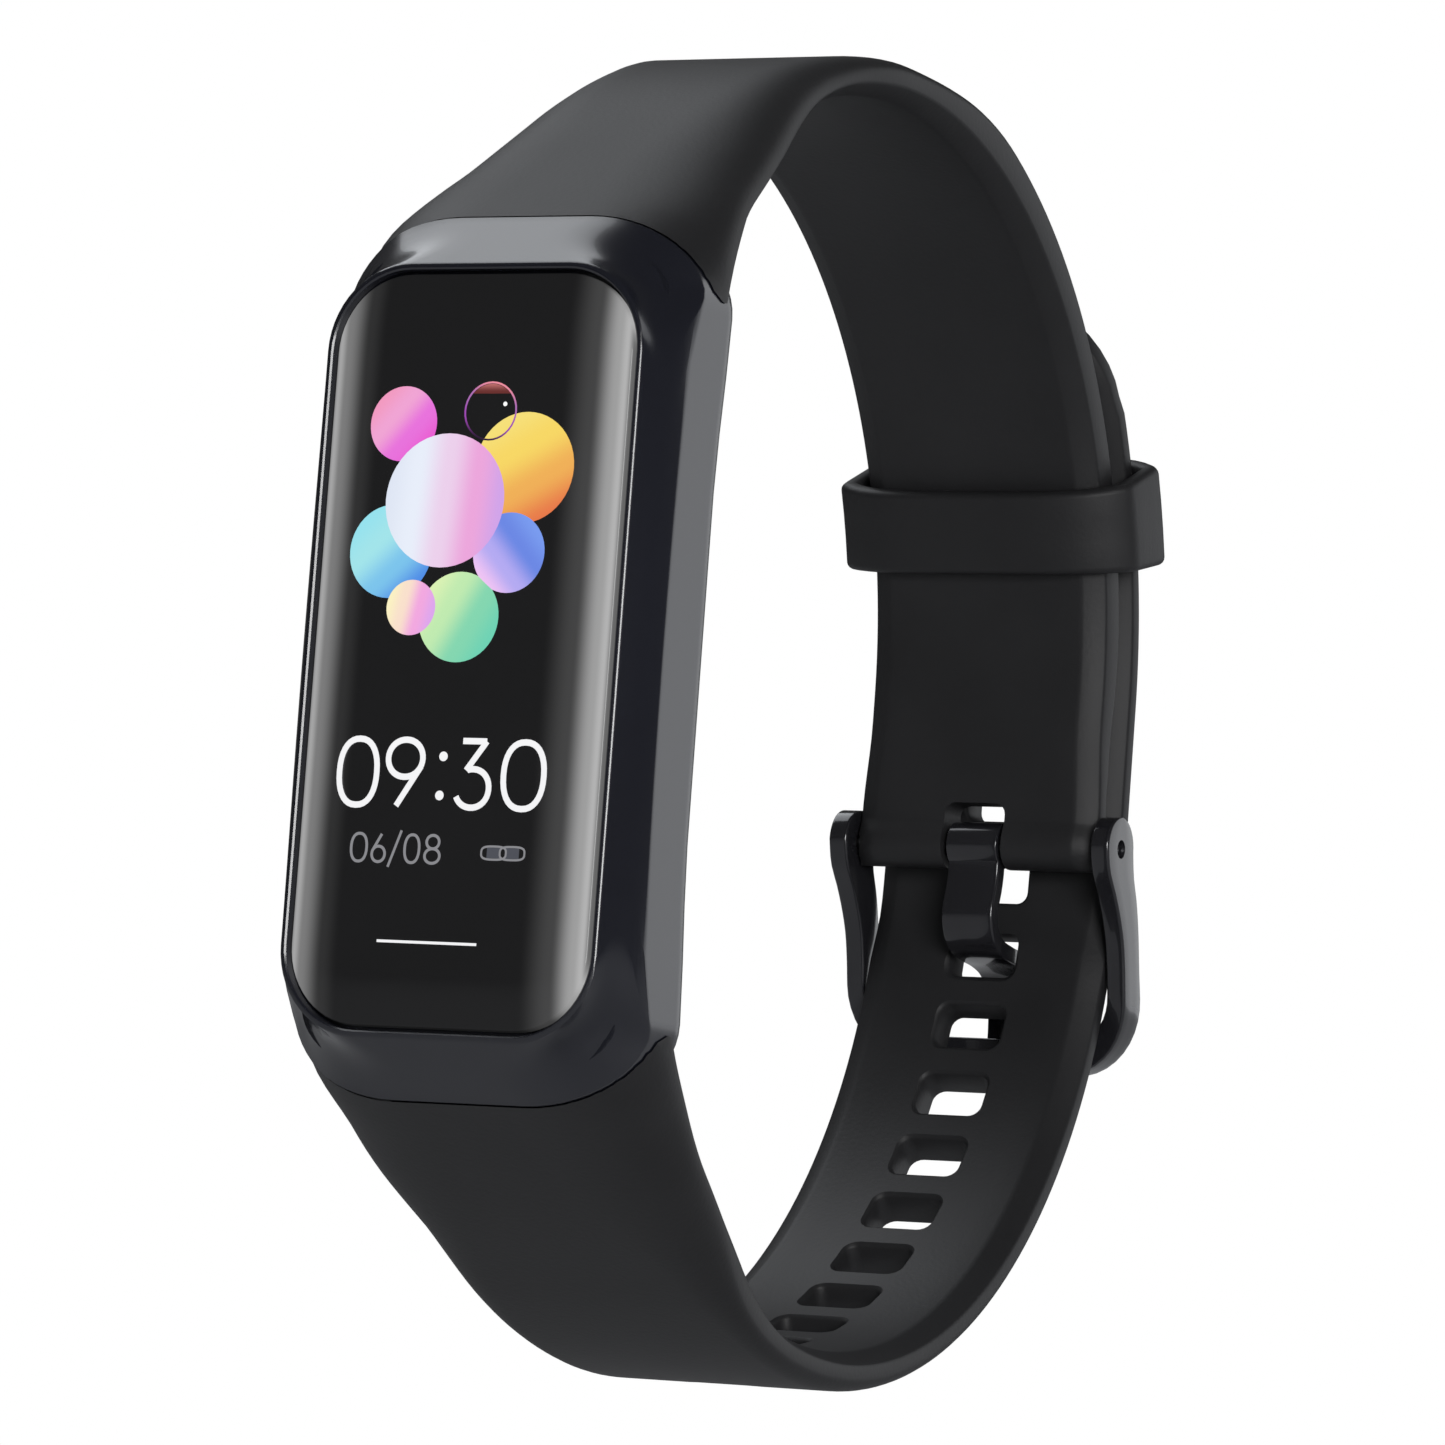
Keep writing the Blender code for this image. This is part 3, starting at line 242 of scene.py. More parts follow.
def at(x, depth, z):
    return (x * mm, (depth - CASE_DEPTH) * mm, z * mm)

def step01(value):
    value = min(max(value, 0.0), 1.0)
    return value * value * (3 - 2 * value)

# %% Rounded outline in the display's plane
def outline(half_w, half_l, corner_w, corner_l, steps=14, side_steps=12, end_steps=6):
    points = []
    for side, end, first in ((1, 1, 0), (-1, 1, 90), (-1, -1, 180), (1, -1, 270)):
        for step in range(steps + 1):
            turn = math.radians(first + 90 * step / steps)
            points.append((side * (half_w - corner_w) + corner_w * math.cos(turn),
                           end * (half_l - corner_l) + corner_l * math.sin(turn)))
        count = end_steps if first in (0, 180) else side_steps
        here = points[-1]
        turn = math.radians(first + 90)
        following = {0: (-1, 1), 90: (-1, -1), 180: (1, -1), 270: (1, 1)}[first]
        goal = (following[0] * (half_w - corner_w) + corner_w * math.cos(turn),
                following[1] * (half_l - corner_l) + corner_l * math.sin(turn))
        for step in range(1, count):
            share = step / count
            points.append((here[0] + (goal[0] - here[0]) * share,
                           here[1] + (goal[1] - here[1]) * share))
    return points

def flat_ring(depth, *sizes):
    return [at(x, depth, z) for x, z in outline(*sizes)]

# %% The crease's depth
def crease_depth(x, z):
    if abs(z) < 18.0:
        return 2.1 + 0.5 * (z / 15) ** 2 + 1.0 * step01((abs(z) - 15) / 3)
    return 3.8 - 0.7 * step01((HALF_W - abs(x)) / 3.7)

def slope_ring(share, lift=0.0):
    bow = math.sin(math.pi * share)
    grow = share + 0.07 * bow
    corner_w = RIM_CORNER + (END_W - RIM_CORNER) * share + 1.2 * bow
    corner_l = RIM_CORNER + (END_L - RIM_CORNER) * share + 2.3 * bow
    points = outline(RIM_W + (HALF_W - RIM_W) * grow, RIM_L + (HALF_L - RIM_L) * share,
                     corner_w, corner_l)
    return [at(x, share * crease_depth(x, z) + lift, z) for x, z in points]

def back_depth(z):
    return side_back(z) + (EAR_BACK - side_back(z)) * step01((abs(z) - 17.3) / 0.5)

def side_back(z):
    return SIDE_BACK + 0.6 * step01((abs(z) - 8.0) / 9.5)

# %% The case's skin
def full_ring(shrink, depth_of):
    sizes = (HALF_W - shrink, HALF_L - shrink, END_W - shrink, END_L - shrink)
    return [at(x, depth_of(x, z), z) for x, z in outline(*sizes)]

rings = [flat_ring(1.3, 8.16, 18.11, 3.95, 3.95),
         flat_ring(0.22, 8.16, 18.11, 3.95, 3.95),
         flat_ring(0.02, 8.20, 18.15, 3.98, 3.98),
         flat_ring(-0.05, 8.28, 18.23, 4.05, 4.05),
         flat_ring(-0.04, 8.40, 18.35, 4.14, 4.14)]
rings += [slope_ring(share, 0.03 * (1 - share))
          for share in (0.0, 0.03, 0.10, 0.2, 0.3, 0.4, 0.5, 0.6, 0.7, 0.8, 0.88, 0.94)]
rings += [full_ring(0.012, lambda x, z: crease_depth(x, z) - 0.03),
          full_ring(0.0, lambda x, z: crease_depth(x, z) + 0.06),
          full_ring(0.0, lambda x, z: crease_depth(x, z) + 0.20),
          full_ring(0.0, lambda x, z: side_back(z) - 0.6),
          full_ring(0.0, lambda x, z: side_back(z) - 0.15),
          full_ring(0.06, lambda x, z: side_back(z) - 0.03),
          full_ring(0.16, lambda x, z: side_back(z)),
          full_ring(0.90, lambda x, z: back_depth(z) - 0.08),
          full_ring(1.10, lambda x, z: back_depth(z)),
          full_ring(1.15, lambda x, z: back_depth(z) - 0.1),
          full_ring(1.20, lambda x, z: 2.4),
          flat_ring(2.4, 7.2, 17.2, 3.2, 3.2),
          flat_ring(1.3, 7.2, 17.2, 3.2, 3.2)]
case_shell = smooth(skin("case_shell", rings, loop=True), 35)
dress(case_shell, case_gloss)
print("case", len(case_shell.data.polygons), "faces")

# %% [markdown]
# At each end the case has two ears with a slot between them, and the strap's lug sits in the slot
# on a spring bar. The slot is a block taken out of the moulding from behind.

# %% Slots for the straps' lugs
LUG_FRONT = 4.75
for end in (1, -1):
    zs = sorted((end * 17.5, end * 22.5))
    slot = block("slot", at(-5.9, LUG_FRONT - 0.3, zs[0]), at(5.9, 9.5, zs[1]))
    case_shell = carve(case_shell, slot)
smooth(case_shell, 35)
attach(case_shell, "case")
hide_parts("housing")

# %% [markdown]
# The front glass is flat over most of its face and rolls back near its edges, where its sides catch
# the light as two soft bands; here those bands are painted reflections in its finish. It stands a
# little proud of the rim, with a thin dark gap round it.

# %% Cover glass
GLASS_W, GLASS_L, GLASS_CORNER = 7.98, 17.93, 3.78

def glass_ring(depth, inset, inset_l, inset_corner):
    corner = GLASS_CORNER - inset_corner
    return flat_ring(depth, GLASS_W - inset, GLASS_L - inset_l, corner, corner)

glass_rings = [glass_ring(depth, 0, 0, 0) for depth in (0.65, 0.22)]
for turn in (15, 35, 60, 90):
    inset = 0.12 * (1 - math.cos(math.radians(turn)))
    glass_rings.append(glass_ring(0.22 - 0.14 * math.sin(math.radians(turn)), inset, inset, inset))
for inset, depth in ((0.5, 0.03), (0.9, -0.03), (1.4, -0.10), (1.9, -0.16), (2.4, -0.20),
                     (2.9, -0.23), (3.6, -0.25)):
    glass_rings.append(glass_ring(depth, inset, inset * 0.8, inset * 0.7))
cover_glass = smooth(skin("front_glass", glass_rings), 40)

# %% [markdown]
# The glass is near black with the panel off. Two soft grey bands of painted reflection run down its
# rolled edges, glowing as emission; they are set by how far a point is from the middle, in the
# object's own coordinates.

# %% Finish of the glass, with painted reflections
PAINTED_REFLECTION_REACH = 8.1 * mm

def set_ramp(ramp, stops):
    ramp.interpolation = "EASE"
    while len(ramp.elements) < len(stops):
        ramp.elements.new(0.5)
    for index, (place, colour) in enumerate(stops):
        ramp.elements[index].position = place
        ramp.elements[index].color = (*colour, 1)

def glass_with_painted_reflections():
    made = finish("front_glass", (0.005, 0.005, 0.006), 0.08, coat=0.3, mottle=0.1, specular=0.1)
    tree = made.node_tree
    shader = tree.nodes["Principled BSDF"]
    where = tree.nodes.new("ShaderNodeTexCoord")
    split = tree.nodes.new("ShaderNodeSeparateXYZ")
    tree.links.new(where.outputs["Object"], split.inputs["Vector"])
    shift = tree.nodes.new("ShaderNodeMapRange")
    shift.inputs["From Min"].default_value = -PAINTED_REFLECTION_REACH
    shift.inputs["From Max"].default_value = PAINTED_REFLECTION_REACH
    # Painted reflections: two grey bands near either side of the glass, laid on as emission.
    painted_reflection_bands = tree.nodes.new("ShaderNodeValToRGB")
    stops = ((0.0, 0.10), (0.02, 0.42), (0.045, 0.22), (0.12, 0.030), (0.18, 0.010), (0.78, 0.010),
             (0.88, 0.06), (0.95, 0.38), (0.975, 0.50), (1.0, 0.06))
    set_ramp(painted_reflection_bands.color_ramp, [(place, (grey,) * 3) for place, grey in stops])
    tree.links.new(split.outputs["X"], shift.inputs["Value"])
    tree.links.new(shift.outputs["Result"], painted_reflection_bands.inputs["Fac"])
    tree.links.new(painted_reflection_bands.outputs["Color"], shader.inputs["Emission Color"])
    shader.inputs["Emission Strength"].default_value = 0.9
    return made

dress(cover_glass, glass_with_painted_reflections())
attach(cover_glass, "case")
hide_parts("cover_glass")

# %% [markdown]
# The two straps follow one path each round the wrist: a straight run from the case, an arc, and a
# straight run down to the buckle, with a second arc for the lower strap's tail. A path is walked
# from the case's seam, and gives a point on the strap's outer face and the way that it faces.

# %% Paths of the straps
SEAM = (3.1 - CASE_DEPTH, HALF_L)
UPPER_CENTRE, UPPER_RADIUS = (19.5, 5.1), 28.8
LOWER_RADIUS, LOWER_CENTRE_Z = 30.0, 3.5
THICK, SWELL, GAP = 2.0, 0.8, 0.3
BAR_Y, BAR_Z, ROLL_R = 47.3, -2.9, 1.3
HOLE_DROP = 6.2                   # from the bar down to the hole that the tongue is in
TAIL_TURN, KEEPER_TURN = 43.5, 19.2
TAIL_Y = UPPER_CENTRE[0] + UPPER_RADIUS + SWELL + GAP + THICK
TAIL_RADIUS = TAIL_Y - UPPER_CENTRE[0]
LOWER_CENTRE = (TAIL_Y - LOWER_RADIUS, LOWER_CENTRE_Z)

def walk(centre, radius, straight, tail=0.0):
    across, rise = centre[0] - SEAM[0], centre[1] - SEAM[1]
    span = math.hypot(across, rise)
    heading = math.atan2(rise, across) + math.asin(radius / span)
    legs = [(math.sqrt(span ** 2 - radius ** 2), 0), (radius * (heading + math.pi / 2), radius),
            (straight, 0)]
    if tail:
        legs.append((TAIL_RADIUS * math.radians(tail), TAIL_RADIUS))
    return {"heading": heading, "legs": legs, "length": sum(leg[0] for leg in legs)}

upper = walk(UPPER_CENTRE, UPPER_RADIUS, UPPER_CENTRE[1] - BAR_Z)
lower = walk(LOWER_CENTRE, LOWER_RADIUS, LOWER_CENTRE_Z + UPPER_CENTRE[1], TAIL_TURN)
upper["side"], lower["side"] = 1, -1
lower["hole"] = lower["legs"][0][0] + lower["legs"][1][0] - LOWER_RADIUS * math.asin(
    (HOLE_DROP - BAR_Z - LOWER_CENTRE_Z) / LOWER_RADIUS)

def spot(path, distance):
    (y, z), heading, left = SEAM, path["heading"], distance
    for number, (length, radius) in enumerate(path["legs"]):
        last = number == len(path["legs"]) - 1
        run = left if last or left < length else length
        if radius:
            turn = run / radius
            y += radius * (math.sin(heading) - math.sin(heading - turn))
            z += radius * (math.cos(heading - turn) - math.cos(heading))
            heading -= turn
        else:
            y += run * math.cos(heading)
            z += run * math.sin(heading)
        left -= run
        if left <= 0:
            break
    return (y, z * path["side"]), (-math.sin(heading), math.cos(heading) * path["side"])

print("upper strap %.1f mm, lower strap %.1f mm" % (upper["length"], lower["length"]))

# %% [markdown]
# Across, a strap is flat outside with rounded edges, and flat inside with a wide chamfer along
# each edge. Where it meets the case the rounding grows until it matches the case's own corner, so
# the two surfaces run into each other. There it is thicker too, and a little waisted. Each section
# is drawn by those rules, and both faces are measured inward from the path.

# %% Width of a strap
STRAP_HALF = 6.85

def fade(share):
    return 0.5 + 0.5 * math.cos(math.pi * min(max(share, 0.0), 1.0))

def hug(distance):
    """1 on the stretch beside the case, where a strap is drawn in, and 0 elsewhere."""
    return step01(distance / 5.0) * fade((distance - 12.0) / 14.0)

def half_width(path, distance, tip):
    half = STRAP_HALF + (HALF_W - STRAP_HALF) * fade(distance / 27.0)
    from_end = path["length"] - distance
    if path is lower:
        half += 0.15 * (1 - fade(distance / 20.0)) - 0.3 * hug(distance)
    else:
        half -= 0.9 * step01(distance / 8.0) * fade((distance - 18.0) / 12.0)
        half += 0.22 * fade((from_end - 1.5) / 5.0)
    if tip and from_end < STRAP_HALF:
        half = math.sqrt(max(STRAP_HALF ** 2 - (STRAP_HALF - from_end) ** 2, 0.04))
    return half

# %% Faces of a strap
SETTLE, ROOT_THICK, HUG_THICK = 0.45, 3.3, 0.9

def settle(distance):
    """How far the lower strap's middle stretch lies inside its path."""
    return (SETTLE * (1 - fade((distance - 8.0) / 14.0))
            * fade((distance - lower["hole"] + 1.0) / 4.0))

def faces(path, distance):
    root = 6.0 if path is upper else 9.0
    bottom = THICK + HUG_THICK * hug(distance) + ROOT_THICK * max(0.0, 1 - distance / root) ** 2
    if path is lower:
        return settle(distance), bottom + settle(distance)
    crest = path["legs"][0][0] + UPPER_RADIUS * path["heading"]
    from_bar = path["length"] - distance
    top = -SWELL * (1 - fade((distance - crest) / 12.0)) * (1 - fade(from_bar / 12.0))
    if from_bar < 3.0:
        bottom = THICK + (ROLL_R - THICK / 2) * fade((from_bar - 0.2) / 1.2)
        top = (THICK / 2 - ROLL_R) * fade((from_bar - 0.2) / 1.5)
    if from_bar < 0:
        round_half = math.sqrt(max(ROLL_R ** 2 - from_bar ** 2, 0.01))
        top, bottom = THICK / 2 - round_half, THICK / 2 + round_half
    return top, bottom

# %% Section of a strap
def section(path, distance, tip=False):
    (y, z), (ny, nz) = spot(path, distance)
    half = half_width(path, distance, tip)
    top, bottom = faces(path, distance)
    closing = 1.0
    if tip:
        from_end = path["length"] - distance
        closing = math.sqrt(max(1 - max(1 - from_end / 0.7, 0.0) ** 2, 0.03))
        middle = (top + bottom) / 2
        top, bottom = middle + (top - middle) * closing, middle + (bottom - middle) * closing
    reach_w, reach_d = (30.0, 30.0) if path is upper else (24.0, 22.0)
    edge_w = 1.1 + 5.1 * fade(distance / reach_w)
    edge_d = 0.70 + 3.8 * fade(distance / reach_d)
    chamfer_w, chamfer_d = min(1.2, 0.5 * half), 0.65 - 0.35 * fade(distance / 22.0)
    # The rounding outside and the chamfer inside never meet, however thin the strap is.
    closing = min(closing, 0.93 * (bottom - top) / (edge_d + chamfer_d + 0.12))
    edge_d *= closing
    chamfer_d *= closing
    edge_w = min(edge_w, 0.7 * half)
    side = []
    for turn in (0, 12, 24, 36, 48, 60, 70, 80, 90):
        a = math.radians(turn)
        side.append((half - edge_w + edge_w * math.sin(a), top + edge_d * (1 - math.cos(a))))
    side += [(half, bottom - chamfer_d - 0.12 * closing), (half - 0.05, bottom - chamfer_d),
             (half - 0.12, bottom - chamfer_d + 0.06 * closing),
             (half - chamfer_w + 0.15, bottom - 0.06 * closing),
             (half - chamfer_w, bottom - 0.02 * closing), (half - chamfer_w - 0.2, bottom)]
    outer = [((half - edge_w) * k / 5, top) for k in range(0, 5)]
    inner = [((half - chamfer_w - 0.2) * k / 5, bottom) for k in range(4, -1, -1)]
    right = outer + side + inner
    left = [(-x, d) for x, d in reversed(right[1:-1])]
    return [(x * mm, (y - d * ny) * mm, (z - d * nz) * mm) for x, d in right + left]

def stations(start, end, step=0.9):
    count = max(2, round((end - start) / step))
    return [start + (end - start) * i / count for i in range(count + 1)]

# %% [markdown]
# The strap's end is a cup that fits round the end of the case. It is drawn a little way into the
# case and then cut back with the case's own outline, which leaves the thin dark seam. A block in
# front trims its lip along the crease, two slanted ones trim it behind the case's sides, and the
# lug that goes between the case's ears is joined on last.

# %% Fit a strap to the case
SEAM_GAP, LIP_DEPTH = 0.07, 3.16
SIDE_CUT_DEPTH, SIDE_CUT_SLANT = 6.95, 2.6
LUG_HALF_W, LUG_BACK = 5.6, 8.05
# In metres, so far past the lug's size that the bevel is clamped and the lug is rounded right over.
LUG_EDGE = 0.25

def fit_to_case(strap, end):
    sizes = (HALF_W + SEAM_GAP, HALF_L + SEAM_GAP, END_W + SEAM_GAP, END_L + SEAM_GAP)
    strap = carve(strap, skin("case_end", [flat_ring(depth, *sizes) for depth in (-6.0, 20.0)]))
    low_y, high_y = at(0, -14, 0)[1], at(0, LIP_DEPTH, 0)[1]
    ahead = block("ahead", (-0.02, low_y, -0.05), (0.02, high_y, 0.05))
    bpy.ops.object.mode_set(mode="EDIT")
    bpy.ops.mesh.select_all(action="SELECT")
    bpy.ops.mesh.subdivide(number_cuts=60)
    bpy.ops.object.mode_set(mode="OBJECT")
    for vertex in ahead.data.vertices:
        if vertex.co.y > high_y - 1e-6:
            vertex.co.y += 0.75 * mm * step01((abs(vertex.co.x) / mm - 6.5) / 3.2)
    strap = carve(strap, ahead)
    for low, high in ((-0.013, -0.0088), (0.0088, 0.013)):
        near, far = sorted((end * 0.0140, end * 0.0206))
        behind = block("behind", (low, at(0, SIDE_CUT_DEPTH, 0)[1], near), (high, 0.009, far))
        for vertex in behind.data.vertices:
            if vertex.co.y < 0.0085 and abs(vertex.co.z) > 0.02:
                vertex.co.y += SIDE_CUT_SLANT * mm
        strap = carve(strap, behind)
    zs = sorted((end * 17.8, end * 21.9))
    lug = block("lug", at(-LUG_HALF_W, LUG_FRONT, zs[0]), at(LUG_HALF_W, LUG_BACK, zs[1]),
                LUG_EDGE, 2)
    return carve(strap, lug, "UNION")

# %% [markdown]
# The upper strap ends in a roll that the buckle's spring bar passes through, with a notch in its
# middle for the tongue. The section swells to a round there. The notch is a rounded block cut out.

# %% Upper strap
STRAP_START = -2.6                # inside the case, where the fit cuts it away
rows = stations(STRAP_START, upper["length"] - 2.0)
rows += [upper["length"] - from_bar for from_bar in
         (1.6, 1.28, 1.2, 1.0, 0.7, 0.35, 0.0, -0.35, -0.7, -0.95, -1.12, -1.22, -1.28)]
upper_strap = skin("upper_strap", [section(upper, d) for d in rows])
upper_strap = fit_to_case(upper_strap, 1)
notch = block("notch", (-1.78 * mm, 0.040, (BAR_Z - 2.0) * mm),
              (1.78 * mm, 0.055, (BAR_Z + 2.2) * mm), 0.6 * mm, 4)
upper_strap = carve(upper_strap, notch)
bore = rod("bore", -0.008, 0.008, BAR_Y * mm, BAR_Z * mm, 0.75 * mm)
upper_strap = smooth(carve(upper_strap, bore), 32)
dress(upper_strap, strap_rubber)
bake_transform(upper_strap)
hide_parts("upper_strap_front", "upper_strap_rear")
print("upper strap", len(upper_strap.data.polygons), "faces")

# %% [markdown]
# The lower strap carries the row of holes. Each is cut by a block drawn across the path, wide at
# both faces so that the hole gets a soft lip. The holes come before the fit to the case, because
# the fitted mesh doesn't take further cuts cleanly.

# %% Hole cutter
HOLE_PITCH = 4.5

def hole_place(number):
    return lower["hole"] - number * HOLE_PITCH

def hole_ring(distance, depth, grow):
    (y, z), (ny, nz) = spot(lower, distance)
    points = outline(1.92 + grow, 1.22 + grow, 0.6 + grow, 0.6 + grow, 5, 2, 2)
    return [(x * mm, (y - depth * ny - a * nz) * mm, (z - depth * nz + a * ny) * mm)
            for x, a in points]

def hole_cutter(number):
    distance = hole_place(number)
    front = settle(distance)
    back = front + THICK
    profile = ((front - 0.5, 0.68), (front - 0.03, 0.19), (front + 0.07, 0.07),
               (front + 0.18, 0.01), (front + 1.0, 0.0), (back - 0.20, 0.01), (back - 0.07, 0.08),
               (back + 0.03, 0.22), (back + 0.5, 0.72))
    return skin("hole", [hole_ring(distance, depth, grow) for depth, grow in profile])

# %% Lower strap
TAIL_JOIN = lower["length"] - TAIL_RADIUS * math.radians(TAIL_TURN - KEEPER_TURN)
lower_strap = skin("lower_strap", [section(lower, d) for d in stations(STRAP_START, TAIL_JOIN)])
for number in range(-3, 10):
    if hole_place(number) < TAIL_JOIN - 2:
        lower_strap = carve(lower_strap, hole_cutter(number))
lower_strap = fit_to_case(lower_strap, -1)
smooth(lower_strap, 32)
dress(lower_strap, strap_rubber)
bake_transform(lower_strap)
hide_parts("lower_strap_front", "lower_strap_rear")
print("lower strap", len(lower_strap.data.polygons), "faces")

# %% [markdown]
# The tail is the same strap carried on beyond the keeper to its rounded tip. It is its own piece,
# joined under the keeper.

# %% Strap tip
tip_rows = stations(TAIL_JOIN, lower["length"] - STRAP_HALF)
tip_rows += [lower["length"] - STRAP_HALF * (1 - math.sin(math.radians(a)))
             for a in range(8, 89, 8)]
tip_rows += [lower["length"] - 0.02]
strap_end = smooth(skin("strap_end", [section(lower, d, True) for d in tip_rows]), 32)
dress(strap_end, strap_rubber)

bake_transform(strap_end)
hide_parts("lower_strap_tip")

# %% [markdown]
# The keeper is a soft band that holds the tail down. Two layers of strap fill its middle and the
# straps' edges are thinner, so its faces bow out while its sides stay short. Its wall is a small
# rounded section carried round that shape.

# %% Keeper
def keeper_path():
    points = []
    for k in range(-12, 13):
        x = 8.0 * k / 12
        points.append((x, 3.45 - 1.6 * abs(k / 12) ** 5))
    edge = points[-1][1]
    points += [(8.10, edge - 0.12), (8.14, edge - 0.45), (8.14, 0.4)]
    lower_half = [(x, -y) for x, y in reversed(points)]
    left_down = [(-8.10, 0.12 - edge), (-8.14, 0.45 - edge), (-8.14, -0.4)]
    left_up = [(-8.14, 0.4), (-8.14, edge - 0.45), (-8.10, edge - 0.12)]
    return left_up + points + lower_half + left_down

def keeper_ring(points, index):
    x, r = points[index]
    before, after = points[index - 1], points[(index + 1) % len(points)]
    along = Vector((after[0] - before[0], after[1] - before[1])).normalized()
    nx, nr = -along.y, along.x
    ring = []
    for a, b in outline(0.52, 2.55, 0.42, 0.42, 4, 3, 2):
        radius = UPPER_RADIUS - THICK + (SWELL + GAP + THICK * 2) / 2 + r + a * nr
        angle = math.radians(KEEPER_TURN) + b / 29.3
        ring.append(((x + a * nx) * mm, (UPPER_CENTRE[0] + radius * math.cos(angle)) * mm,
                     (UPPER_CENTRE[1] + radius * math.sin(angle)) * mm))
    return ring

band = keeper_path()
keeper = skin("keeper_band", [keeper_ring(band, i) for i in range(len(band))], loop=True)
smooth(keeper, 50)
dress(keeper, strap_rubber)
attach(keeper, "keeper")
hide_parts("keeper_loop")
print("keeper", [round(v / mm, 2) for v in keeper.dimensions])

# %% [markdown]
# The buckle's frame is one bent bar: two flat legs that widen to round knobs at the top, and a
# thicker crossbar below, with generous corners between. Its section is a rounded rectangle carried
# along the U; the side profile says how far forward and back it reaches at each height.

# %% Side profile of the buckle frame
LEG_MIDDLE, LEG_HALF, CROSSBAR_HALF = 7.76, 0.54, 0.9
FOOT_Z, FOOT_RADIUS, KNOB_R = -13.95, 3.4, 1.7
FRONT_EDGE = ((-2.9, 45.6), (-4.2, 46.0), (-5.4, 46.95), (-6.6, 47.75), (-7.8, 48.35),
              (-9.2, 48.75), (-11.2, 49.2), (-13.7, 50.25))
BACK_EDGE = ((-2.9, 49.0), (-4.2, 49.3), (-5.4, 49.85), (-6.6, 50.25), (-7.8, 50.55),
             (-9.2, 50.85), (-11.2, 51.35), (-13.7, 52.0))

def curve_through(points, steps):
    """A smooth row of points through the given ones."""
    ends = [points[0]] + list(points) + [points[-1]]
    row = []
    for p0, p1, p2, p3 in zip(ends, ends[1:], ends[2:], ends[3:]):
        for step in range(steps):
            t = step / steps
            row.append(tuple(0.5 * (2 * b + (c - a) * t + (2 * a - 5 * b + 4 * c - d) * t * t
                                    + (3 * b - a - 3 * c + d) * t ** 3)
                             for a, b, c, d in zip(p0, p1, p2, p3)))
    return row + [tuple(points[-1])]

front_row, back_row = curve_through(FRONT_EDGE, 6), curve_through(BACK_EDGE, 6)

def read_row(row, z):
    for (z0, y0), (z1, y1) in zip(row, row[1:]):
        if z >= z1:
            return y0 + (y1 - y0) * (z0 - z) / (z0 - z1)
    return row[-1][1]

def reach(z):
    if z > BAR_Z:
        half = math.sqrt(max(KNOB_R ** 2 - (z - BAR_Z) ** 2, 0.0))
        return BAR_Y - half, BAR_Y + half
    return read_row(front_row, z), read_row(back_row, z)

# %% Buckle frame
def frame_ring(x, z, turn, half):
    front, back = reach(z)
    middle, deep = (front + back) / 2, (back - front) / 2
    corner = min(0.16, 0.8 * half, 0.8 * deep)
    return [((x + a * math.cos(turn)) * mm, (middle + b) * mm, (z + a * math.sin(turn)) * mm)
            for a, b in outline(half, deep, corner, corner, 4, 3, 3)]

def frame_side():
    rings = [frame_ring(LEG_MIDDLE, BAR_Z + KNOB_R * math.sin(math.radians(a)), 0.0, LEG_HALF)
             for a in (88, 82, 75, 66, 57, 48, 39, 30, 20, 10)]
    bend_z = FOOT_Z + FOOT_RADIUS
    rings += [frame_ring(LEG_MIDDLE, BAR_Z + (bend_z - BAR_Z) * k / 16, 0.0, LEG_HALF)
              for k in range(17)]
    for degrees in range(9, 91, 9):
        a = math.radians(degrees)
        half = LEG_HALF + (CROSSBAR_HALF - LEG_HALF) * step01(degrees / 90)
        x, z = LEG_MIDDLE - FOOT_RADIUS * (1 - math.cos(a)), bend_z - FOOT_RADIUS * math.sin(a)
        rings.append(frame_ring(x, z, -a, half))
    return rings + [frame_ring(x, FOOT_Z, -math.pi / 2, CROSSBAR_HALF) for x in (2.9, 1.4)]

right = frame_side()
left = [[(-x, y, z) for x, y, z in ring] for ring in reversed(right)]
middle = [frame_ring(0.0, FOOT_Z, -math.pi / 2, CROSSBAR_HALF)]
buckle = skin("buckle_bow", right + middle + left)
pin_hole = rod("pin_hole", -0.0095, 0.0095, BAR_Y * mm, BAR_Z * mm, 0.50 * mm, sides=32)
buckle = carve(buckle, pin_hole)
smooth(buckle, 45)
dress(buckle, buckle_gloss)
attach(buckle, "buckle_frame")
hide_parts("buckle_frame")
print("buckle", [round(v / mm, 2) for v in buckle.dimensions])

# %% [markdown]
# The tongue is a bent strip. It wraps the bar, swells towards the wrist once more below it, and
# hooks out through a hole of the lower strap to rest on the crossbar. Its section is carried along
# that line, and the wrap round the bar is a rod joined on.

# %% Tongue
TONGUE_LINE = ((46.95, -3.7), (46.98, -4.4), (46.86, -5.3), (46.62, -6.2), (46.64, -7.0),
               (47.05, -7.8), (47.9, -8.35), (49.1, -8.6), (50.4, -8.8), (51.5, -9.2),
               (52.3, -10.0), (52.68, -11.2), (52.75, -12.8), (52.68, -14.5))

def tongue_ring(row, i, share):
    y, z = row[i]
    before, after = row[max(i - 1, 0)], row[min(i + 1, len(row) - 1)]
    run = math.hypot(after[0] - before[0], after[1] - before[1])
    ny, nz = -(after[1] - before[1]) / run, (after[0] - before[0]) / run
    ending = math.sqrt(max(1 - max((share - 0.93) / 0.07, 0.0) ** 2, 0.05))
    half = (1.5 - 0.25 * step01((share - 0.55) / 0.4)) * (0.5 + 0.5 * ending)
    thick = (0.45 - 0.12 * step01((share - 0.7) / 0.3)) * ending
    return [(a * mm, (y + b * ny) * mm, (z + b * nz) * mm)
            for a, b in outline(half, thick, 0.14 * ending, 0.14 * ending, 3, 3, 3)]

